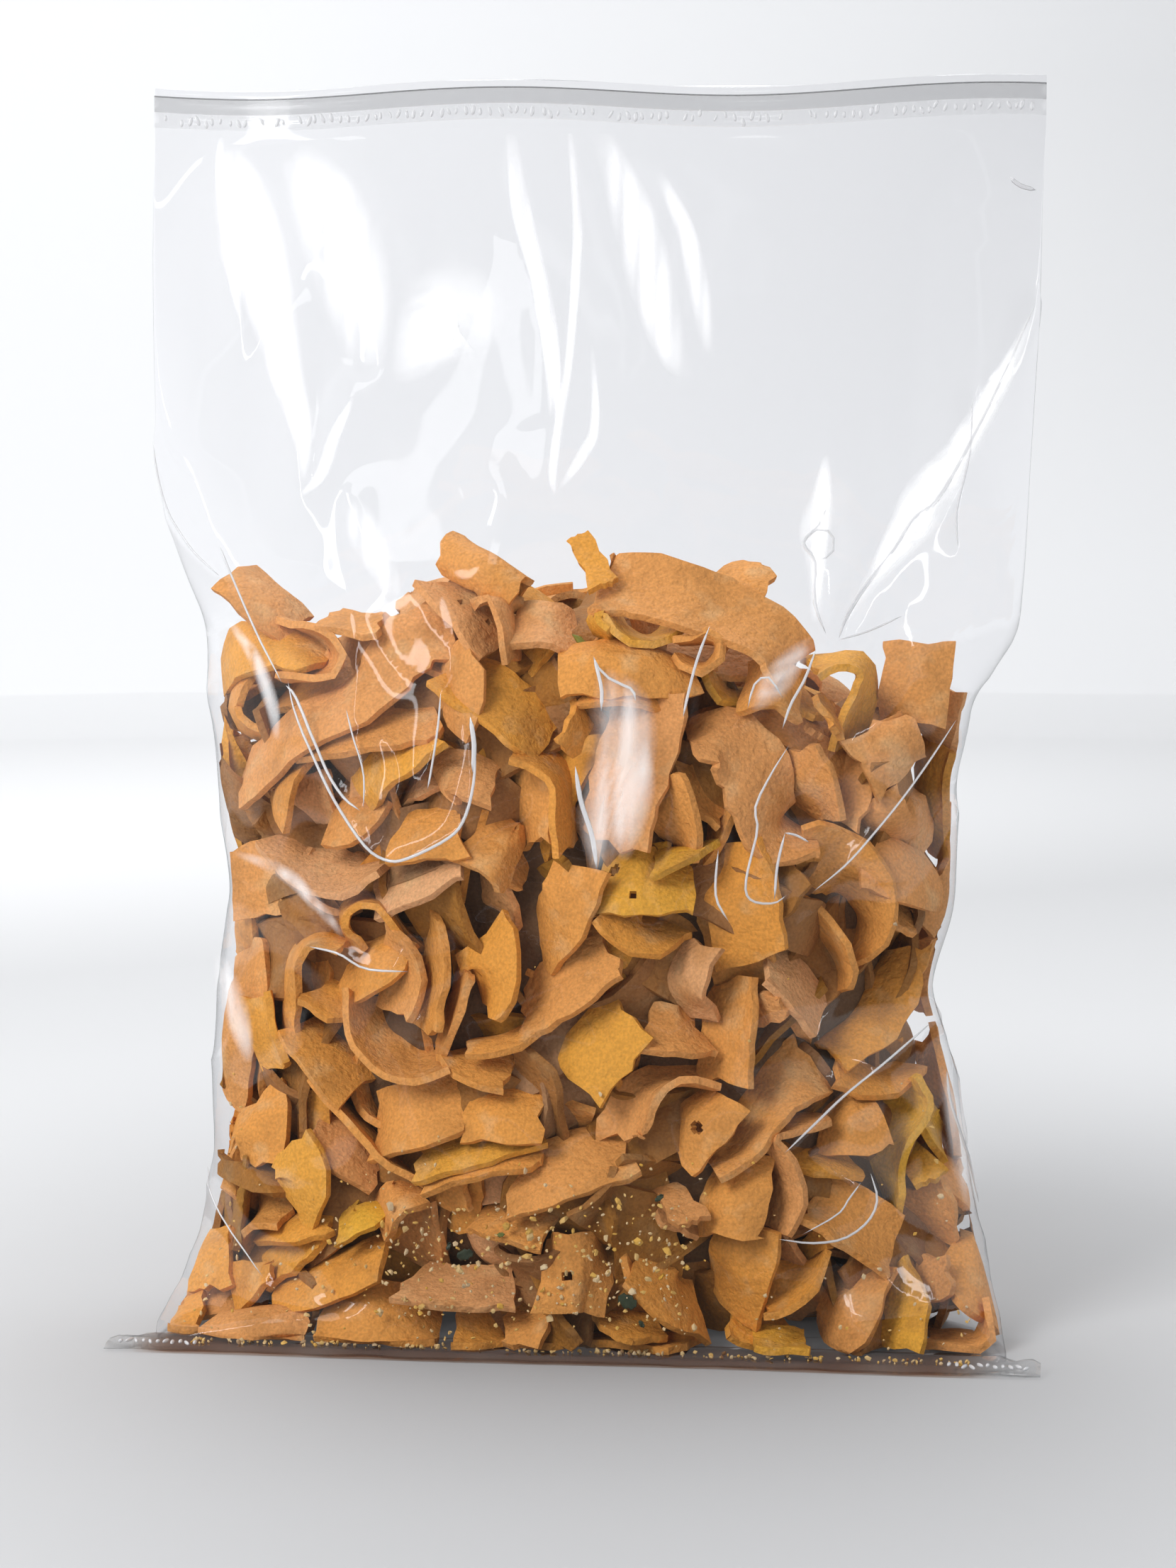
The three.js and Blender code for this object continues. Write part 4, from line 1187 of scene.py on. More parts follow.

# %% [markdown]
# ## The film
# The film is one closed wall without thickness: a grid is wrapped round the level cuts, so its
# columns run up the bag and its rows run round it. Over the heap it is drawn tight in flat
# facets, and above the heap it hangs in long, soft drapes that die out at the top seal.
# Cloth simulation could find such folds, but the folds of this bag are known from the photo,
# so they are placed as ridges that push the film outwards and never into the ribbons.

# %% Creases that the photograph shows
# name: (width of the bright edge in mm, height of the ridge in mm, line in photograph pixels)
# The creases named fold_ are soft: they get a wide ridge and no bright edge.
CREASES = {
    "left_diagonal": (0.7, 0.5, ((312, 770), (328, 811), (362, 890), (399, 964))),
    "left_u": (1.0, 0.9, (
        (407, 960), (418, 1006), (449, 1079), (480, 1140), (518, 1194), (549, 1213), (579, 1209),
        (633, 1182), (656, 1155), (669, 1106), (671, 1056), (665, 1029))),
    "left_v": (1.0, 0.7, (
        (404, 966), (418, 983), (444, 1044), (464, 1090), (487, 1125), (510, 1143))),
    "left_v_back": (0.6, 0.4, ((514, 1140), (514, 1090), (499, 1037), (489, 999))),
    "middle_drop": (0.7, 0.5, ((623, 976), (619, 1025), (610, 1083), (604, 1113))),
    "right_of_drop": (1.6, 0.6, ((664, 1010), (670, 1050), (668, 1090))),
    "belly_arc": (0.8, 0.5, ((438, 1334), (478, 1344), (517, 1366), (577, 1370))),
    "smear_edge": (1.2, 0.6, ((838, 925), (845, 950), (850, 975), (849, 1004))),
    "smear_top": (0.9, 0.5, ((838, 925), (851, 950), (879, 966), (893, 973), (898, 990))),
    "smear_left": (1.6, 0.6, ((812, 1080), (820, 1130), (836, 1180), (843, 1226))),
    "middle_right_drop": (0.9, 0.5, ((1002, 882), (984, 930), (972, 975), (964, 1012))),
    "chip_line": (0.9, 0.5, ((1152, 914), (1136, 957), (1116, 993), (1104, 1028))),
    "chip_arc": (0.7, 0.4, ((1055, 1000), (1065, 965), (1085, 955), (1105, 985))),
    "knot_tail": (1.0, 0.8, ((1172, 700), (1156, 740), (1134, 765), (1150, 792), (1150, 850),
                              (1166, 894))),
    "knot_ring": (0.7, 0.6, ((1134, 765), (1150, 748), (1174, 752), (1174, 780), (1150, 792))),
    "long_diagonal": (1.3, 1.6, (
        (1460, 431), (1420, 520), (1383, 597), (1326, 700), (1290, 732), (1259, 779),
        (1219, 830), (1195, 870), (1184, 900))),
    "diagonal_tail": (0.6, 0.4, ((1184, 902), (1225, 890), (1274, 868))),
    "long_v": (0.8, 0.6, (
        (1114, 1050), (1088, 1092), (1066, 1138), (1069, 1170), (1056, 1225), (1053, 1258),
        (1066, 1272), (1093, 1273), (1110, 1262))),
    "long_v_right": (0.9, 0.5, ((1108, 1174), (1097, 1221), (1093, 1269))),
    "v_cap": (0.8, 0.4, ((1108, 1174), (1124, 1178), (1142, 1188))),
    "below_block": (0.8, 0.4, ((1014, 1197), (1010, 1240), (1012, 1270), (1029, 1300))),
    "right_long": (0.7, 0.5, (
        (1350, 1014), (1312, 1072), (1274, 1125), (1236, 1172), (1195, 1218), (1148, 1257))),
    "right_buckle": (0.8, 1.4, (
        (1314, 1440), (1262, 1486), (1195, 1541), (1150, 1584), (1108, 1624))),
    "rectangle_arc": (0.8, 0.5, (
        (1228, 1652), (1238, 1690), (1224, 1722), (1190, 1746), (1145, 1753), (1099, 1747))),
    "rectangle_line": (0.6, 0.4, ((1215, 1666), (1198, 1690), (1182, 1712), (1132, 1741))),
    "right_crescent": (0.9, 0.7, ((1336, 1506), (1342, 1553), (1365, 1624), (1381, 1696))),
    "left_foot": (0.6, 0.9, ((293, 1645), (302, 1689), (329, 1738), (373, 1801))),
    "fold_a": (0.7, 1.6, ((311, 173), (309, 252), (327, 375), (345, 463))),
    "fold_b": (0.8, 1.6, ((405, 449), (405, 513), (419, 605), (426, 692))),
    "fold_b_back": (1.0, 1.2, ((426, 694), (455, 669), (474, 614), (501, 559))),
    "fold_c": (1.0, 1.6, ((715, 173), (731, 302), (759, 398), (777, 513), (777, 587))),
    "fold_d": (0.9, 1.6, (
        (800, 169), (814, 300), (814, 375), (804, 513), (781, 651), (786, 692))),
    "fold_d_back": (0.9, 1.0, ((786, 692), (823, 642), (841, 596), (836, 480))),
    "fold_d_right": (0.6, 1.0, ((832, 470), (832, 375), (823, 238))),
    "fold_e": (0.6, 0.8, ((777, 215), (784, 330), (795, 444))),
    "fold_f": (0.8, 0.8, ((869, 284), (876, 360), (882, 431))),
    "fold_g": (0.9, 0.8, ((685, 665), (705, 688), (726, 706), (745, 717))),
    "fold_h": (1.3, 0.9, ((497, 701), (508, 735), (520, 770), (547, 798))),
    "fold_i": (0.9, 1.0, ((455, 238), (501, 330), (529, 431), (543, 527), (501, 555))),
    "right_shoulder": (0.7, 0.9, ((1372, 560), (1368, 640), (1350, 720), (1352, 770))),
    "top_right_fleck": (1.4, 0.5, ((1424, 250), (1440, 262), (1462, 268))),
    "shoulder_left": (0.6, 1.2, ((216, 620), (232, 700), (270, 770), (312, 812))),
}

# %% Film body
FILM_ROWS, FILM_COLUMNS = 210, 380
FILM_FLOOR, FILM_TOP = 0.35, HEIGHT - 0.5
RIDGE_WIDTH = 2.6
SOFT_RIDGE_WIDTH = 6.5
HEADSPACE_FROM = 196
FADE = 30


def ridge_lines():
    """The creases as short straight segments in mm, each with its ridge height."""
    starts, ends, rises, widths = [], [], [], []
    for name, (_, rise, line) in CREASES.items():
        path = spline([(x, y, 0, 0) for x, y in line], 4 * (len(line) - 1))
        points = on_film(path[:, 0], path[:, 1])
        starts.append(points[:-1])
        ends.append(points[1:])
        rises.append(np.full(len(points) - 1, rise))
        soft = name.startswith("fold_")
        widths.append(np.full(len(points) - 1, SOFT_RIDGE_WIDTH if soft else RIDGE_WIDTH))
    return [np.concatenate(rows) for rows in (starts, ends, rises, widths)]


def film_point_table():
    """All points of the film's grid, in mm."""
    heights = np.linspace(FILM_FLOOR, FILM_TOP, FILM_ROWS + 1)
    around = np.arange(FILM_COLUMNS + 1) % FILM_COLUMNS / FILM_COLUMNS
    turn = 2 * np.pi * around
    height = np.repeat(heights[:, None], FILM_COLUMNS + 1, axis=1)
    left, right = cut_at(height)[:2]
    x = (left + right) / 2 - (right - left) / 2 * np.cos(turn)
    front, back = film_walls(x, height)
    y = np.where(turn < np.pi, front, back)
    return np.stack([x, y, height], axis=-1), turn


film_points, film_turn = film_point_table()
film_across = np.gradient(film_points, axis=1)
film_across[:, 0] = film_points[:, 1] - film_points[:, -2]
film_across[:, -1] = film_across[:, 0]
film_normals = unit(np.cross(film_across, np.gradient(film_points, axis=0)))


def push_of_noise(points, stretch, seed, folded):
    """A smooth or a ridged noise at every point, from 0 to about 1."""
    flat = (points * np.array(stretch)).reshape(-1, 3)
    values = np.array([noise.noise(Vector(p) + Vector((seed, 0, 0))) for p in flat])
    values = 1 - np.abs(values) * 2.2 if folded else values * 0.5 + 0.5
    return np.clip(values, 0, 1).reshape(points.shape[:-1])


over_heap = np.clip((HEADSPACE_FROM - film_points[..., 2]) / FADE, 0, 1)
near_seal = np.clip((HEIGHT - SEAL_HEIGHT - film_points[..., 2]) / FADE, 0, 1)
near_floor = np.clip(film_points[..., 2] / 10, 0, 1)
facets = push_of_noise(film_points, (0.028, 0.028, 0.026), 3.0, True) ** 2 * 0.9
small_facets = push_of_noise(film_points, (0.06, 0.06, 0.045), 9.0, True) ** 3 * 0.5
drapes = push_of_noise(film_points, (0.030, 0.030, 0.005), 21.0, False) ** 2 * 3.2
ripples = push_of_noise(film_points, (0.09, 0.09, 0.012), 33.0, False) ** 2 * 0.5
push = (facets + small_facets) * over_heap + (drapes + ripples) * (1 - over_heap)
push = push * near_seal * near_floor

ridge_starts, ridge_ends, ridge_rises, ridge_widths = ridge_lines()
front_wall = film_turn < np.pi
front_points = film_points[:, front_wall][..., [0, 2]]
ridge = np.zeros(front_points.shape[:-1])
for start, end, rise, width in zip(
        ridge_starts[:, [0, 2]], ridge_ends[:, [0, 2]], ridge_rises, ridge_widths):
    run = end - start
    share = np.clip(((front_points - start) @ run) / max(run @ run, 1e-6), 0, 1)
    apart = np.linalg.norm(front_points - start - share[..., None] * run, axis=-1)
    ridge = np.maximum(ridge, rise * np.exp(-((apart / width) ** 1.5)))
push[:, front_wall] += ridge * near_floor[:, front_wall] * near_seal[:, front_wall]
film_shape = film_points + film_normals * push[..., None]
rise, sway = seal_wave(film_points[..., 0], film_points[..., 2])
film_shape[..., 1] += sway
film_shape[..., 2] += rise

bm = bmesh.new()
wrapped(bm, FILM_ROWS, FILM_COLUMNS, lambda i, j: film_shape[i, j])
close_seams(bm)
bmesh.ops.holes_fill(bm, edges=[e for e in bm.edges if e.is_boundary], sides=FILM_COLUMNS + 2)
bmesh.ops.recalc_face_normals(bm, faces=bm.faces)
film = finish_piece("film_body", bm, film_finish)
print("film faces:", len(film.data.polygons), "furthest push", round(float(push.max()), 2), "mm")

# %% [markdown]
# ## Bright edges of the folds
# A sharp crease in film is a tiny round edge that catches the light from any side, finer than
# the film's grid. Each sharp crease gets such an edge: a slim closed bead that tapers to both
# ends and follows the film's own wall, just proud of it. Its finish is mostly lit white, a
# painted highlight.

# %% Beads along the creases
BEAD_NARROWER = 0.8
BEAD_HEIGHT = 0.3
BEAD_PROUD = 0.12
PIXELS_PER_STEP = 14


def film_front_at(x, z):
    """The y of the finished film's front wall at points, read off the film's own grid."""
    row = np.clip((z - FILM_FLOOR) / (FILM_TOP - FILM_FLOOR) * FILM_ROWS, 0, FILM_ROWS - 1e-3)
    low = row.astype(int)
    share = row - low
    columns = np.arange(FILM_COLUMNS + 1)[front_wall]
    found = []
    for one_x, one_low, one_share in zip(x, low, share):
        ys = []
        for r in (one_low, one_low + 1):
            xs = film_shape[r, columns, 0]
            order = np.argsort(xs)
            ys.append(np.interp(one_x, xs[order], film_shape[r, columns, 1][order]))
        found.append(ys[0] * (1 - one_share) + ys[1] * one_share)
    return np.array(found)


def bead(bm, points, normals, width, height, sides=6):
    """A closed slim bead along points in mm, flat against the wall that has these normals."""
    along = unit(np.gradient(points, axis=0))
    beside = unit(np.cross(normals, along))
    count = len(points) - 1
    share = np.linspace(0, 1, count + 1)
    taper = np.sqrt(np.clip(np.minimum(share, 1 - share) * 5, 0, 1))

    def place(i, j):
        angle = 2 * math.pi * (j % sides) / sides
        flat = beside[i] * math.cos(angle) * width / 2
        proud = normals[i] * (math.sin(angle) * height / 2)
        return points[i] + (flat + proud) * taper[i]

    wrapped(bm, count, sides, place)


bm = bmesh.new()
for name, (width, _, line) in CREASES.items():
    if name.startswith("fold_"):
        continue
    length = np.linalg.norm(np.diff(np.array(line), axis=0), axis=1).sum()
    count = max(6, int(length / PIXELS_PER_STEP))
    path = spline([(x, y, 0, 0) for x, y in line], count)
    points = on_film(path[:, 0], path[:, 1])
    points[:, 2] = np.clip(points[:, 2], 1, HEIGHT - SEAL_HEIGHT)
    points[:, 1] = film_front_at(points[:, 0], points[:, 2]) - BEAD_PROUD
    outwards = np.tile(np.array([0.0, -1.0, 0.0]), (count + 1, 1))
    bead(bm, points, outwards, width * BEAD_NARROWER, BEAD_HEIGHT)
close_seams(bm)
folds = finish_piece("film_folds", bm, painted_highlight_film)
print("fold faces:", len(folds.data.polygons))

# %% [markdown]
# Where film bends over a fold it mirrors the lamps in a wide, soft white streak. Each such
# painted reflection is a thin, faintly glowing sheet that lies on the film. A point attribute
# holds how white it is: full along its middle and nothing at its edges and ends, so that no
# outline shows.

# %% Painted reflections: white streaks on the film
# name: (how white it is, line in photograph pixels as across, down, seen width)
PAINTED_STREAKS = {
    "left_patch": (0.75, ((318, 205, 26), (338, 270, 60), (356, 345, 74), (384, 430, 56),
                          (404, 520, 40), (428, 610, 24), (430, 680, 10))),
    "left_glow": (0.38, ((412, 215, 40), (452, 270, 76), (484, 340, 90), (508, 430, 76),
                         (520, 520, 44))),
    "middle_streak": (0.6, ((722, 178, 10), (742, 300, 16), (768, 420, 22), (786, 520, 14),
                            (790, 610, 8))),
    "middle_patch": (0.42, ((838, 175, 20), (872, 250, 40), (900, 330, 52), (925, 420, 50),
                           (950, 500, 34), (975, 535, 16))),
    "middle_edge": (0.32, ((925, 240, 14), (965, 320, 22), (985, 400, 26), (1000, 500, 14))),
    "centre_glow": (0.30, ((560, 540, 20), (610, 470, 90), (650, 440, 110), (700, 480, 50))),
    "heap_shoulder": (0.35, ((500, 705, 20), (515, 750, 40), (540, 800, 34), (560, 850, 16))),
    "right_diagonal": (0.85, ((1458, 440, 8), (1430, 505, 20), (1388, 580, 30), (1352, 640, 36),
                              (1310, 702, 56), (1278, 752, 44), (1236, 810, 22), (1192, 880, 8))),
    "knot_glow": (0.7, ((1166, 640, 8), (1160, 700, 26), (1150, 748, 36), (1152, 800, 22),
                        (1150, 880, 12))),
    "fold_c_light": (0.7, ((715, 175, 8), (731, 302, 12), (759, 398, 14), (777, 513, 12),
                           (779, 590, 6))),
    "fold_d_light": (0.6, ((800, 170, 8), (814, 300, 12), (814, 375, 12), (804, 513, 10),
                           (783, 655, 12), (786, 700, 5))),
    "fold_back_light": (0.5, ((786, 696, 6), (823, 642, 14), (841, 596, 12), (836, 480, 5))),
    "fold_a_light": (0.55, ((309, 190, 8), (309, 252, 12), (327, 375, 12), (345, 463, 6))),
    "fold_left_tip": (0.6, ((426, 700, 5), (455, 669, 14), (474, 614, 14), (501, 559, 5))),
    "heap_smear": (0.30, ((850, 945, 20), (872, 990, 66), (880, 1050, 74), (862, 1120, 70),
                         (850, 1180, 50), (846, 1232, 18))),
    "smear_tail": (0.24, ((912, 1040, 10), (905, 1100, 34), (890, 1160, 36), (880, 1215, 14))),
    "upper_left_veil": (0.30, ((323, 876, 8), (357, 922, 17), (384, 991, 17), (392, 1044, 8))),
    "left_veil": (0.28, ((331, 1201, 8), (399, 1229, 18), (446, 1273, 16), (486, 1320, 8))),
    "waist_veil": (0.24, ((308, 1340, 12), (322, 1390, 30), (340, 1450, 26), (352, 1500, 12))),
    "right_veil": (0.22, ((1326, 1500, 10), (1345, 1560, 26), (1360, 1640, 26), (1370, 1710, 10))),
    "right_fan": (0.22, ((1060, 1000, 12), (1090, 968, 36), (1120, 930, 30), (1150, 900, 12))),
}
STREAK_COLUMNS = 12
STREAK_PROUD = 0.2
STREAK_WIDER = 1.35


def painted_streak_skin():
    """Painted reflection: a faintly glowing white on clear film, as strong as the sheet's own attribute
    says.
    """
    finish = new_finish("film_painted_streak")
    haze_and_painted_highlight = add_node(finish, "Attribute", attribute_name="haze_and_painted_highlight").outputs["Fac"]
    clear = add_node(finish, "BsdfTransparent", {"Color": (1, 1, 1, 1)})
    # The white part glows a little, a painted reflection.
    white = add_node(
        finish, "BsdfPrincipled",
        {"Base Color": (0.9, 0.9, 0.91, 1), "Roughness": 0.5,
         "Emission Color": (1, 1, 1, 1), "Emission Strength": 0.4},
    )
    skin = add_node(
        finish, "MixShader", {0: haze_and_painted_highlight, 1: clear.outputs[0], 2: white.outputs[0]},
    )
    finish.cycles.emission_sampling = "NONE"
    return surfaced(finish, skin)


def add_painted_streak(bm, strength, stations):
    """One sheet on the film's front wall, whitest along its middle."""
    layer = bm.verts.layers.float["haze_and_painted_highlight"]
    length = np.linalg.norm(np.diff(np.array(stations)[:, :2], axis=0), axis=1).sum()
    rows = max(8, int(length / PIXELS_PER_STEP))
    path = spline([(*station, 0) for station in stations], rows)
    heading = unit(np.gradient(path[:, :2], axis=0))
    sideways = np.stack([-heading[:, 1], heading[:, 0]], -1)
    t = np.linspace(-1, 1, STREAK_COLUMNS + 1)
    half_width = np.maximum(path[:, 2:3], 3) / 2 * STREAK_WIDER
    pixels = path[:, None, :2] + sideways[:, None] * (half_width * t)[..., None]
    points = on_film(pixels[..., 0], pixels[..., 1])
    flat = points.reshape(-1, 3)
    flat[:, 2] = np.clip(flat[:, 2], 1, HEIGHT - SEAL_HEIGHT)
    flat[:, 1] = film_front_at(flat[:, 0], flat[:, 2]) - STREAK_PROUD
    points = flat.reshape(points.shape)
    share = np.linspace(0, 1, rows + 1)
    taper = np.clip(np.minimum(share, 1 - share) * 4, 0, 1)
    for vertex, i, j in new_grid(bm, rows, STREAK_COLUMNS):
        grain = Vector((points[i, j][0] * 0.42, 0, points[i, j][2] * 0.022))
        uneven = min(1.25, max(0.15, 0.8 + 1.0 * noise.noise(grain)))
        vertex[layer] = strength * uneven * taper[i] * (1 - t[j] ** 2) ** 1.6
        vertex.co = Vector(points[i, j]) * MM


bm = bmesh.new()
bm.verts.layers.float.new("haze_and_painted_highlight")
for strength, stations in PAINTED_STREAKS.values():
    add_painted_streak(bm, strength, stations)
painted_streaks = finish_piece("film_painted_streaks", bm, painted_streak_skin())
thicken(painted_streaks, 0.06)
print("streaks:", len(PAINTED_STREAKS), "faces:", len(painted_streaks.data.polygons))

# %% [markdown]
# ## The seals
# Both ends of the tube are welded shut. At the top the weld is a grey, less clear band below a
# loose lip, with a row of small blisters under it where the hot bar crimped the film. At the
# bottom the weld lies flat on the table in front of the bag, and its two ends stick out as
# ears. The heap is mirrored in it. Here that reflection is painted: the weld is tinted brown
# along the heap, which looks much the same from the front, and its ears stay clear.

# %% Top seal
BAND_LOW, BAND_HIGH = 313.4, 317.2
BAND_THICKNESS = 0.3
BAND_STEPS = 160


def seal_point(across, height, forward):
    """A point of the top seal, `forward` mm in front of the middle of the weld."""
    side = float(cut_at(height)[2])
    rise, sway = seal_wave(np.array(across), np.array(height))
    return across, side + SHIFT_BACK - forward + float(sway), height + float(rise)


def seal_strip(name, low, high, forward, finish, rows=2, span=(-1.0, 1.0), thickness=0.25):
    """A flat strip along the top seal between two heights."""
    bm = bmesh.new()
    left, right = span[0] * HALF, span[1] * HALF

    def place(i, j):
        across = left + (right - left) * i / BAND_STEPS
        height = low + (high - low) * j / rows
        return seal_point(across, height, forward)

    wrapped(bm, BAND_STEPS, rows, place)
    bmesh.ops.recalc_face_normals(bm, faces=bm.faces)
    strip = finish_piece(name, bm, finish)
    thicken(strip, thickness)
    return strip


band_finish = clear_film("weld_band", 0.05, 0.4, (0.86, 0.86, 0.86), 0.2, haze_and_highlight_share=0.04)
line_finish = clear_film("weld_line", 0.08, 0.5, (0.6, 0.6, 0.6), 0.2)
band = seal_strip("seal_band", BAND_LOW, BAND_HIGH, 0.75, band_finish)
seal_strip("seal_line", BAND_HIGH, BAND_HIGH + 0.35, 0.8, line_finish, rows=1)
crimp_field = seal_strip("seal_field", 309.4, BAND_LOW, 0.7, weld_finish)

bm = bmesh.new()
crimps = np.random.default_rng(11)
CRIMP_PITCH = 2.15
for step in range(int(2 * HALF / CRIMP_PITCH)):
    across = -HALF + 3 + step * CRIMP_PITCH + crimps.normal(0, 0.35)
    if abs(across) > HALF - 2 or crimps.random() < 0.12:
        continue
    height = crimps.normal(311.5, 0.35)
    size = crimps.uniform(0.35, 0.62)
    made = bmesh.ops.create_icosphere(bm, subdivisions=2, radius=1)["verts"]
    spot = Vector(seal_point(across, height, 0.95))
    tilt = crimps.normal(0, 0.25)
    for vertex in made:
        x, y, z = vertex.co
        z = z * size * 2.1
        x = x * size + tilt * z
        vertex.co = (spot + Vector((x, y * 0.28, z))) * MM
crimp_piece = finish_piece("seal_crimps", bm, painted_highlight_film)
print("top seal:", band.name, crimp_field.name, crimp_piece.name)

# %% Bottom seal
SEAM_DEPTH, EAR_DEPTH = 22.0, 7.0
SEAM_STEPS, SEAM_ROWS = 120, 8
EAR_REACH = 2.5
# Brown tint that paints the heap's reflection into the weld; the light through it browns the floor
# beneath, a painted shadow.
PAINTED_REFLECTION_TINT = (0.76, 0.63, 0.55)


def weld_with_painted_reflection():
    """The weld of the foot: clear film, tinted brown as a painted reflection of the heap, as far as its
    attribute says.
    """
    finish = new_finish("weld_with_painted_reflection")
    painted_reflection = add_node(finish, "Attribute", attribute_name="painted_reflection").outputs["Fac"]
    tint = mixed(finish, painted_reflection, (0.98, 0.98, 0.98), PAINTED_REFLECTION_TINT)
    return film_surface(finish, 0.05, 0.6, tint, 0.05, 0.0)


def painted_reflection_at(across):
    """Full along the heap, and nothing at the clear ears."""
    left_end = (across + HALF - 3) / 8
    right_end = (HALF - 8 - across) / 16
    uneven = 0.85 + 0.3 * noise.noise(Vector((across * 0.07, 7.0, 0.0)))
    return float(np.clip(min(left_end, right_end), 0, 1)) * uneven


def seam_point(i, j):
    """The flat weld along the front of the base: narrow ears at the ends, buckled a little."""
    share = 2 * i / SEAM_STEPS - 1
    across = share * (HALF + EAR_REACH)
    inner = np.clip((HALF + EAR_REACH - abs(across)) / 16, 0, 1)
    back = SEAM_FRONT + EAR_DEPTH + (SEAM_DEPTH - EAR_DEPTH) * float(inner)
    depth = SEAM_FRONT + (back - SEAM_FRONT) * j / SEAM_ROWS
    wave = noise.noise(Vector((across * 0.09, depth * 0.2, 4.0)))
    lift = 0.6 + 0.4 * wave + (1 - float(inner)) * (1.2 + 1.6 * wave) * (0.4 + j / SEAM_ROWS)
    front_edge = 0.5 * math.sin(across * 0.05) if j == 0 else 0.0
    return across, depth + SHIFT_BACK + front_edge, max(0.35, lift)


bm = bmesh.new()
painted_reflection_layer = bm.verts.layers.float.new("painted_reflection")
for vertex in wrapped(bm, SEAM_STEPS, SEAM_ROWS, seam_point):
    vertex[painted_reflection_layer] = painted_reflection_at(vertex.co.x / MM)
bmesh.ops.recalc_face_normals(bm, faces=bm.faces)
seam = finish_piece("bottom_seal", bm, weld_with_painted_reflection())
thicken(seam, 0.1)

bm = bmesh.new()
for side in (-1, 1):
    for step in range(11):
        across = side * (HALF - 1 - step * 1.9)
        depth = SEAM_FRONT + SHIFT_BACK + crimps.uniform(3.0, 5.5)
        made = bmesh.ops.create_icosphere(bm, subdivisions=2, radius=1)["verts"]
        length = crimps.uniform(0.8, 2.0)
        lean = crimps.normal(0, 0.5)
        for vertex in made:
            x, y, z = vertex.co
            place = Vector((across + x * 0.5 + y * lean, depth + y * length, 2.0 + z * 0.5))
            vertex.co = place * MM
seam_marks = finish_piece("bottom_seal_marks", bm, painted_highlight_film)
print("bottom seal:", seam.name, seam_marks.name)

# %% [markdown]
# ## Crumbs and curry leaf
# Frying leaves crumbs, which gather low in the bag and cling to the inside of the film. They
# are tiny, so each is only a jittered icosphere of twenty faces. Bits of fried curry leaf, dark
# green to black, lie among them, and one green sliver shows at the top.

# %% Crumbs
CRUMB_REGION = ((440, 1640), (995, 1880))
CRUMB_HEART = ((530, 1700), (970, 1862))
SEEN_CRUMBS, HEAP_CRUMBS, SEAM_CRUMBS = 430, 260, 240
crumb_draw = np.random.default_rng(5)

bm = bmesh.new()
bm.verts.layers.float.new("tone")


def add_crumb(bm, place, size, tone, draw):
    layer = bm.verts.layers.float["tone"]
    made = bmesh.ops.create_icosphere(bm, subdivisions=1, radius=1)["verts"]
    turn = Matrix.Rotation(draw.uniform(0, 6.3), 3, Vector(draw.normal(size=3)).normalized())
    stretch = Vector((draw.uniform(0.6, 1.5), draw.uniform(0.35, 0.8), draw.uniform(0.6, 1.3)))
    for vertex in made:
        jitter = Vector(draw.normal(0, 0.16, 3))
        shape = turn @ ((vertex.co + jitter) * stretch)
        vertex.co = (Vector(place) + shape * size) * MM
        vertex[layer] = tone


def crumb_skin():
    """Pale, dry crumbs, from cream to yellow."""
    finish = new_finish("crumb")
    tone = add_node(finish, "Attribute", attribute_name="tone").outputs["Fac"]
    stops = (
        (0.0, (0.30, 0.13, 0.045)), (0.15, (0.78, 0.60, 0.36)), (0.6, (0.78, 0.52, 0.20)),
        (1.0, (0.75, 0.42, 0.06)),
    )
    colour = ramp_of(finish, tone, stops).outputs["Color"]
    skin = add_node(finish, "BsdfPrincipled", {"Base Color": colour, "Roughness": 0.7})
    return surfaced(finish, skin)


for number in range(SEEN_CRUMBS):
    low, high = CRUMB_HEART if number % 10 < 7 else CRUMB_REGION
    across = crumb_draw.uniform(low[0], high[0])
    down = crumb_draw.uniform(low[1], high[1])
    big = crumb_draw.random() < 0.12
    size = crumb_draw.uniform(0.7, 1.3) if big else crumb_draw.uniform(0.2, 0.6)
    spot = on_film(across, down, 0.5 + size)
    add_crumb(bm, spot, size, crumb_draw.uniform(0.1, 1.0), crumb_draw)
for _ in range(HEAP_CRUMBS):
    turn = crumb_draw.uniform(0, 2 * math.pi)
    height = crumb_draw.exponential(22) + 3
    left, right = (float(v) for v in cut_at(height)[:2])
    x = (left + right) / 2 + ((right - left) / 2 - 4) * math.cos(turn) * 0.97
    front, back = film_walls(np.array(x), np.array(height))
    size = crumb_draw.uniform(0.2, 0.7)
    y = float(back) - 0.7 - size if math.sin(turn) > 0 else float(front) + 0.7 + size
    add_crumb(bm, (x, y, height), size, crumb_draw.uniform(0.1, 1.0), crumb_draw)
for _ in range(SEAM_CRUMBS):
    size = crumb_draw.uniform(0.25, 0.7)
    across = crumb_draw.uniform(-98, 100)
    back = SEAM_FRONT + SHIFT_BACK + crumb_draw.uniform(9.0, 13.5)
    add_crumb(bm, (across, back, size * 1.5 + 0.3), size, crumb_draw.uniform(0.0, 0.9), crumb_draw)
crumbs = finish_piece("crumbs", bm, crumb_skin(), smooth=False)
print("crumbs:", len(crumbs.data.polygons) // 20)

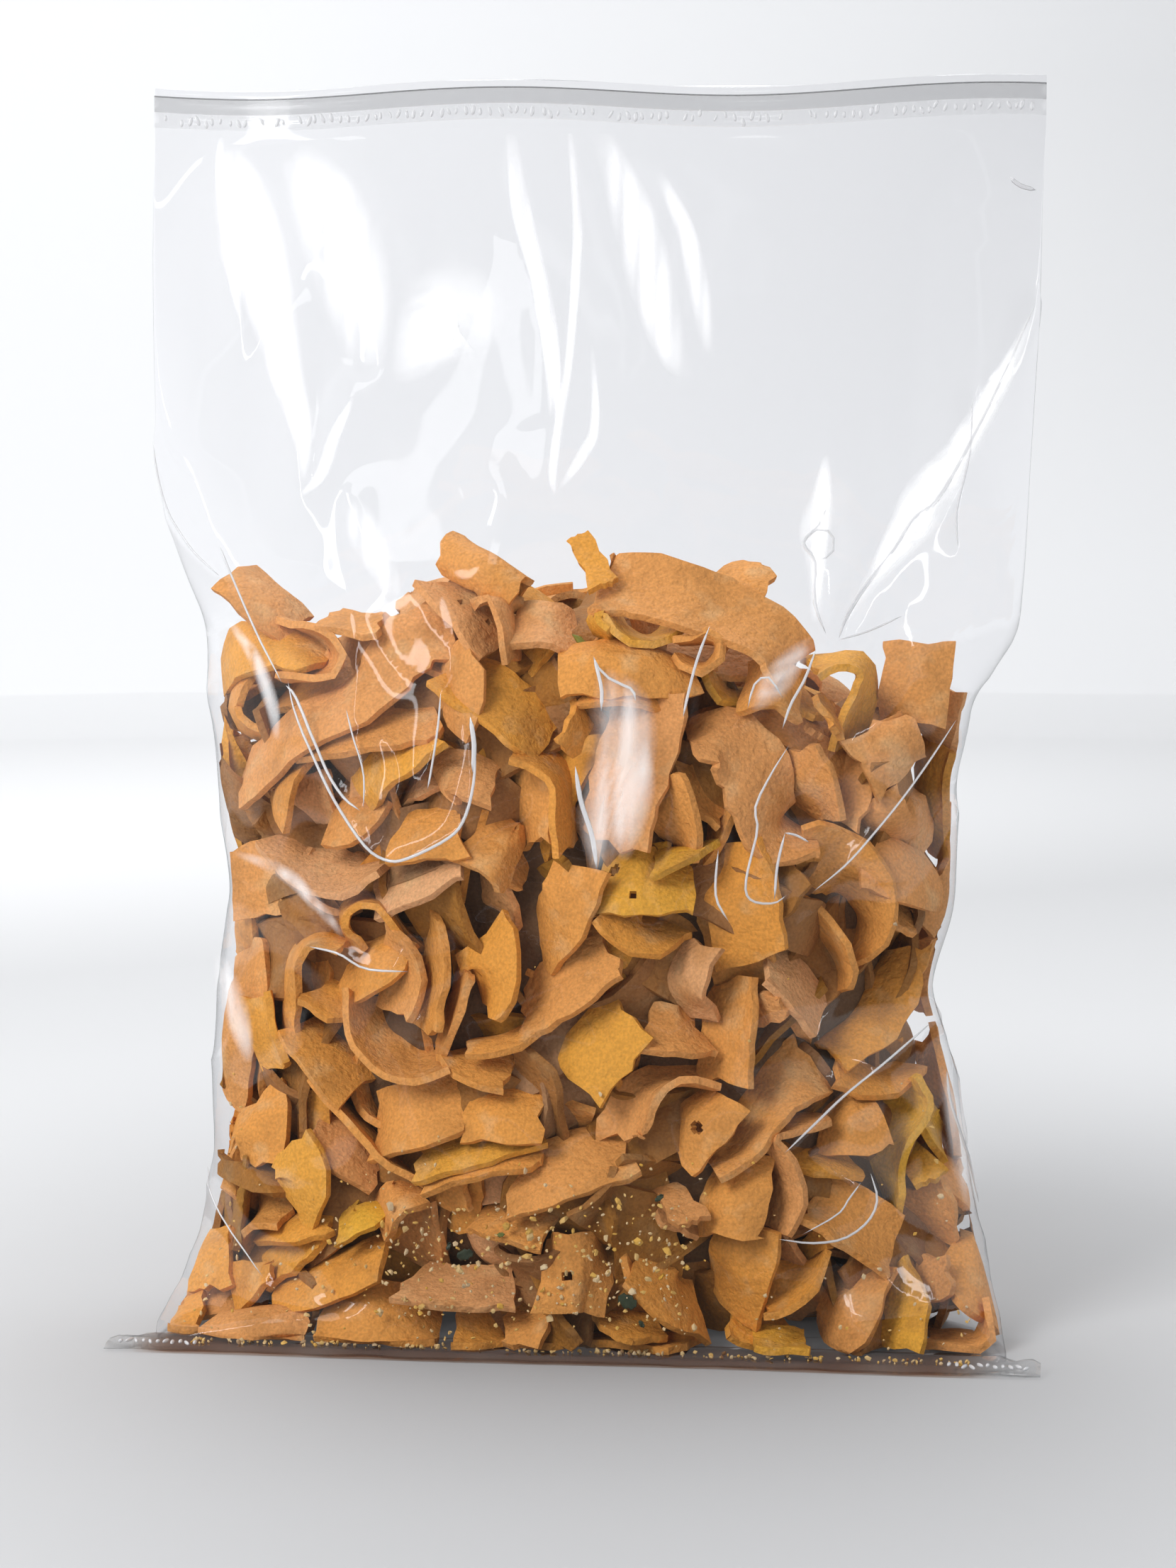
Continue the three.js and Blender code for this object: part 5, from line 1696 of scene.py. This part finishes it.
# %% Bits of curry leaf
# name: (across, down, length in mm, width in mm, turn in degrees, how green it is)
LEAF_BITS = {
    "dark_bit": (885, 1836, 5.2, 3.4, -30, 0.2),
    "black_bit": (656, 1770, 4.4, 2.6, 20, 0.1),
    "speck_left": (633, 1758, 2.2, 1.0, 70, 0.1),
    "speck_right": (930, 1690, 2.6, 1.2, 40, 0.3),
    "speck_low": (905, 1868, 2.0, 1.1, -60, 0.3),
    "green_sliver": (824, 908, 7.5, 1.6, -38, 1.0),
    "green_speck": (706, 1742, 2.0, 1.0, 10, 0.8),
}


def leaf_skin():
    finish = new_finish("curry_leaf")
    place = add_node(finish, "TexCoord").outputs["Object"]
    green = add_node(finish, "Attribute", attribute_name="tone").outputs["Fac"]
    base = ramp_of(finish, green, (
        (0.0, (0.012, 0.014, 0.012)), (0.5, (0.03, 0.045, 0.02)), (1.0, (0.22, 0.24, 0.04)),
    )).outputs["Color"]
    veins = add_node(finish, "TexNoise", {"Vector": place, "Scale": 700.0, "Detail": 2.0})
    colour = mixed(finish, veins.outputs["Fac"], base, (0.05, 0.06, 0.03), "ADD")
    bump = add_node(finish, "Bump", {"Height": veins.outputs["Fac"], "Strength": 0.4,
                                     "Distance": 0.0003})
    skin = add_node(finish, "BsdfPrincipled", {
        "Base Color": colour, "Roughness": 0.35, "Normal": bump.outputs["Normal"]})
    return surfaced(finish, skin)


bm = bmesh.new()
layer = bm.verts.layers.float.new("tone")
for across, down, length, width, turn, green in LEAF_BITS.values():
    depth = 12.0 if green == 1.0 else 1.0
    spot = Vector(on_film(across, down, depth))
    angle = math.radians(turn)
    made = bmesh.ops.create_grid(bm, x_segments=7, y_segments=4, size=1)["verts"]
    for vertex in made:
        u, v = vertex.co.x, vertex.co.y
        pinch = (1 - abs(u) ** 2.5) ** 0.6 * (1 + 0.25 * math.sin(9 * u + turn))
        x = u * length / 2
        z = v * pinch * width / 2
        ripple = 0.25 * math.sin(3 * u + 2 * v)
        vertex.co = (spot + Vector((
            x * math.cos(angle) - z * math.sin(angle), ripple,
            x * math.sin(angle) + z * math.cos(angle)))) * MM
        vertex[layer] = green
leaf_bits = finish_piece("leaf_bits", bm, leaf_skin())
thicken(leaf_bits, 0.25)
print("leaf bits:", len(LEAF_BITS))

# %% [markdown]
# ## The studio
# The bag stands on a pale floor that sweeps up into a round white wall, so that it is seen
# against the same soft white from every side. The floor glows a little, a painted light that
# keeps the bag's shadow faint; the glow is less at the foot of the bag, a painted shadow, and
# dimmer on the right and higher up, a painted shade.

# %% Floor and round wall
FLOOR_RADIUS, WALL_RADIUS, WALL_HEIGHT = 1.75, 2.3, 2.6
SWEEP_STEPS = 10

bm = bmesh.new()
profile = [Vector((r, 0, 0)) for r in (0.0, 0.3, 0.8, FLOOR_RADIUS)]
sweep = WALL_RADIUS - FLOOR_RADIUS
for step in range(1, SWEEP_STEPS + 1):
    angle = math.pi / 2 * step / SWEEP_STEPS
    profile.append(Vector((FLOOR_RADIUS + sweep * math.sin(angle), 0, sweep * (1 - math.cos(angle)))))
profile.append(Vector((WALL_RADIUS, 0, WALL_HEIGHT)))
chain = [bm.verts.new(point) for point in profile]
edges = [bm.edges.new(pair) for pair in zip(chain, chain[1:])]
bmesh.ops.spin(bm, geom=chain + edges, cent=(0, 0, 0), axis=(0, 0, 1), angle=2 * math.pi,
               steps=96, use_merge=True, use_duplicate=False)
bmesh.ops.remove_doubles(bm, verts=bm.verts, dist=1e-4)
bmesh.ops.recalc_face_normals(bm, faces=bm.faces)
bmesh.ops.reverse_faces(bm, faces=bm.faces)


def cove_skin():
    """Pale and matte, with a painted glow that grows in an oval away from the foot of the bag and is
    taken down on the right and higher up as painted shade.
    """
    finish = new_finish("pale_cove")
    place = add_node(finish, "TexCoord").outputs["Object"]
    oval = add_node(
        finish, "VectorMath", {0: place, 1: (1.35, 0.85, 1.0), 2: (-0.03, 0.04, 0.0)},
        operation="MULTIPLY_ADD",
    ).outputs["Vector"]
    reach = add_node(finish, "VectorMath", {0: oval}, operation="LENGTH").outputs["Value"]
    even = add_node(
        finish, "MapRange",
        {"Value": reach, "From Min": 0.06, "From Max": 0.5, "To Min": 0.0, "To Max": 0.32},
        interpolation_type="SMOOTHSTEP",
    ).outputs["Result"]
    axes = add_node(finish, "SeparateXYZ", {"Vector": place}).outputs
    # Painted shade: less glow to the right and higher up.
    right = ranged(finish, axes["X"], -0.6, 0.25, max=0.13)
    high = ranged(finish, axes["Z"], 0.1, 0.5)
    shade = add_node(finish, "Math", {0: right, 1: high}, operation="MULTIPLY").outputs[0]
    glow = add_node(finish, "Math", {0: even, 1: shade}, operation="SUBTRACT").outputs[0]
    skin = add_node(
        finish, "BsdfPrincipled",
        {"Base Color": (0.57, 0.575, 0.585, 1), "Roughness": 0.5, "Specular IOR Level": 0.25,
         "Emission Color": (0.97, 0.98, 1.0, 1), "Emission Strength": glow},
    )
    finish.cycles.emission_sampling = "NONE"
    return surfaced(finish, skin)


cove = new_object("cove", bm, cove_skin(), smooth=True)
cove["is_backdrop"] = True
print("cove faces:", len(cove.data.polygons))

# %% [markdown]
# Clear film mirrors all that stands round it, and a white room would lie over it as a haze. A
# photographer hangs dark cloth where the film would mirror the room. The ring here does the
# same: it is dark in front and behind and bright at the sides, it shows in reflections only,
# and neither the camera nor the light meets it.

# %% Dark ring that only reflections show
RING_RADIUS, RING_TOP = 1.9, 2.4

bm = bmesh.new()
bmesh.ops.create_circle(bm, segments=64, radius=RING_RADIUS, cap_ends=True)
rim = [edge for edge in bm.edges if edge.is_boundary]
raised = bmesh.ops.extrude_edge_only(bm, edges=rim)["geom"]
for vertex in bm.verts:
    vertex.co.z = RING_TOP if vertex in raised else 0.001


def ring_skin():
    """A dim glow in front and behind, and a brighter one at the sides."""
    finish = new_finish("dark_cloth")
    place = add_node(finish, "TexCoord").outputs["Object"]
    across = add_node(finish, "SeparateXYZ", {"Vector": place}).outputs["X"]
    aside = add_node(finish, "Math", {0: across}, operation="ABSOLUTE").outputs[0]
    glow = ranged(finish, aside, 0.8, 1.7, min=0.14, max=1.3)
    skin = add_node(finish, "Emission", {"Color": (0.97, 0.98, 1.0, 1), "Strength": glow})
    finish.cycles.emission_sampling = "NONE"
    return surfaced(finish, skin)


ring = new_object("dark_ring", bm, ring_skin(), smooth=False)
ring.visible_camera = False
ring.visible_diffuse = False
ring.visible_shadow = False
ring.visible_transmission = False
ring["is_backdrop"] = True
print("ring faces:", len(ring.data.polygons))

# %% [markdown]
# The light is a photographer's: a softbox high in front on the left, a large soft panel overhead
# and a little behind, which throws the faint shadow towards the viewer, and a lamp on the wall
# at the left. A small window and two thin strips light nothing and only show as glints.

# %% Lights
def softbox(name, place, target, width, height, brightness, lights=True, mirrored=True):
    """An area light that faces a target; it lights the bag, shows in reflections, or both."""
    data = bpy.data.lights.new(name, "AREA")
    data.shape = "RECTANGLE"
    data.size, data.size_y = width, height
    data.energy = brightness * math.pi * width * height
    lamp = bpy.data.objects.new(name, data)
    bpy.context.scene.collection.objects.link(lamp)
    lamp.location = place
    lamp.rotation_euler = (Vector(target) - Vector(place)).to_track_quat("-Z", "Y").to_euler()
    lamp.visible_camera = False
    lamp.visible_diffuse = lights
    lamp.visible_glossy = mirrored


MIDDLE = (0.0, 0.0, 0.13)
softbox("key", (-0.72, -1.0, 0.95), MIDDLE, 0.6, 0.8, 9.0, mirrored=False)
softbox("top", (0.0, 0.42, 1.3), MIDDLE, 1.1, 0.8, 3.6)
softbox("back_wall", (-0.3, 0.9, 0.9), (-1.2, 2.0, 0.5), 1.2, 0.8, 4.2, mirrored=False)
softbox("window", (-0.52, -0.88, 0.90), MIDDLE, 0.14, 0.22, 2.4, lights=False)
softbox("glint_left", (-0.75, -0.95, 0.45), MIDDLE, 0.035, 0.7, 8, lights=False)
softbox("glint_right", (0.95, -0.75, 0.5), MIDDLE, 0.035, 0.6, 9, lights=False)

world = bpy.data.worlds.new("studio")
bpy.context.scene.world = world
world.use_nodes = True
world.node_tree.nodes["Background"].inputs["Color"].default_value = (0.95, 0.97, 1.0, 1)
world.node_tree.nodes["Background"].inputs["Strength"].default_value = 0.14

scene = bpy.context.scene
scene.view_settings.view_transform = "Standard"
scene.cycles.transparent_max_bounces = 24
scene.cycles.max_bounces = 4
scene.cycles.diffuse_bounces = 2
scene.cycles.glossy_bounces = 1
scene.cycles.adaptive_threshold = 0.04

# %% Sizes and finish
low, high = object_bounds()
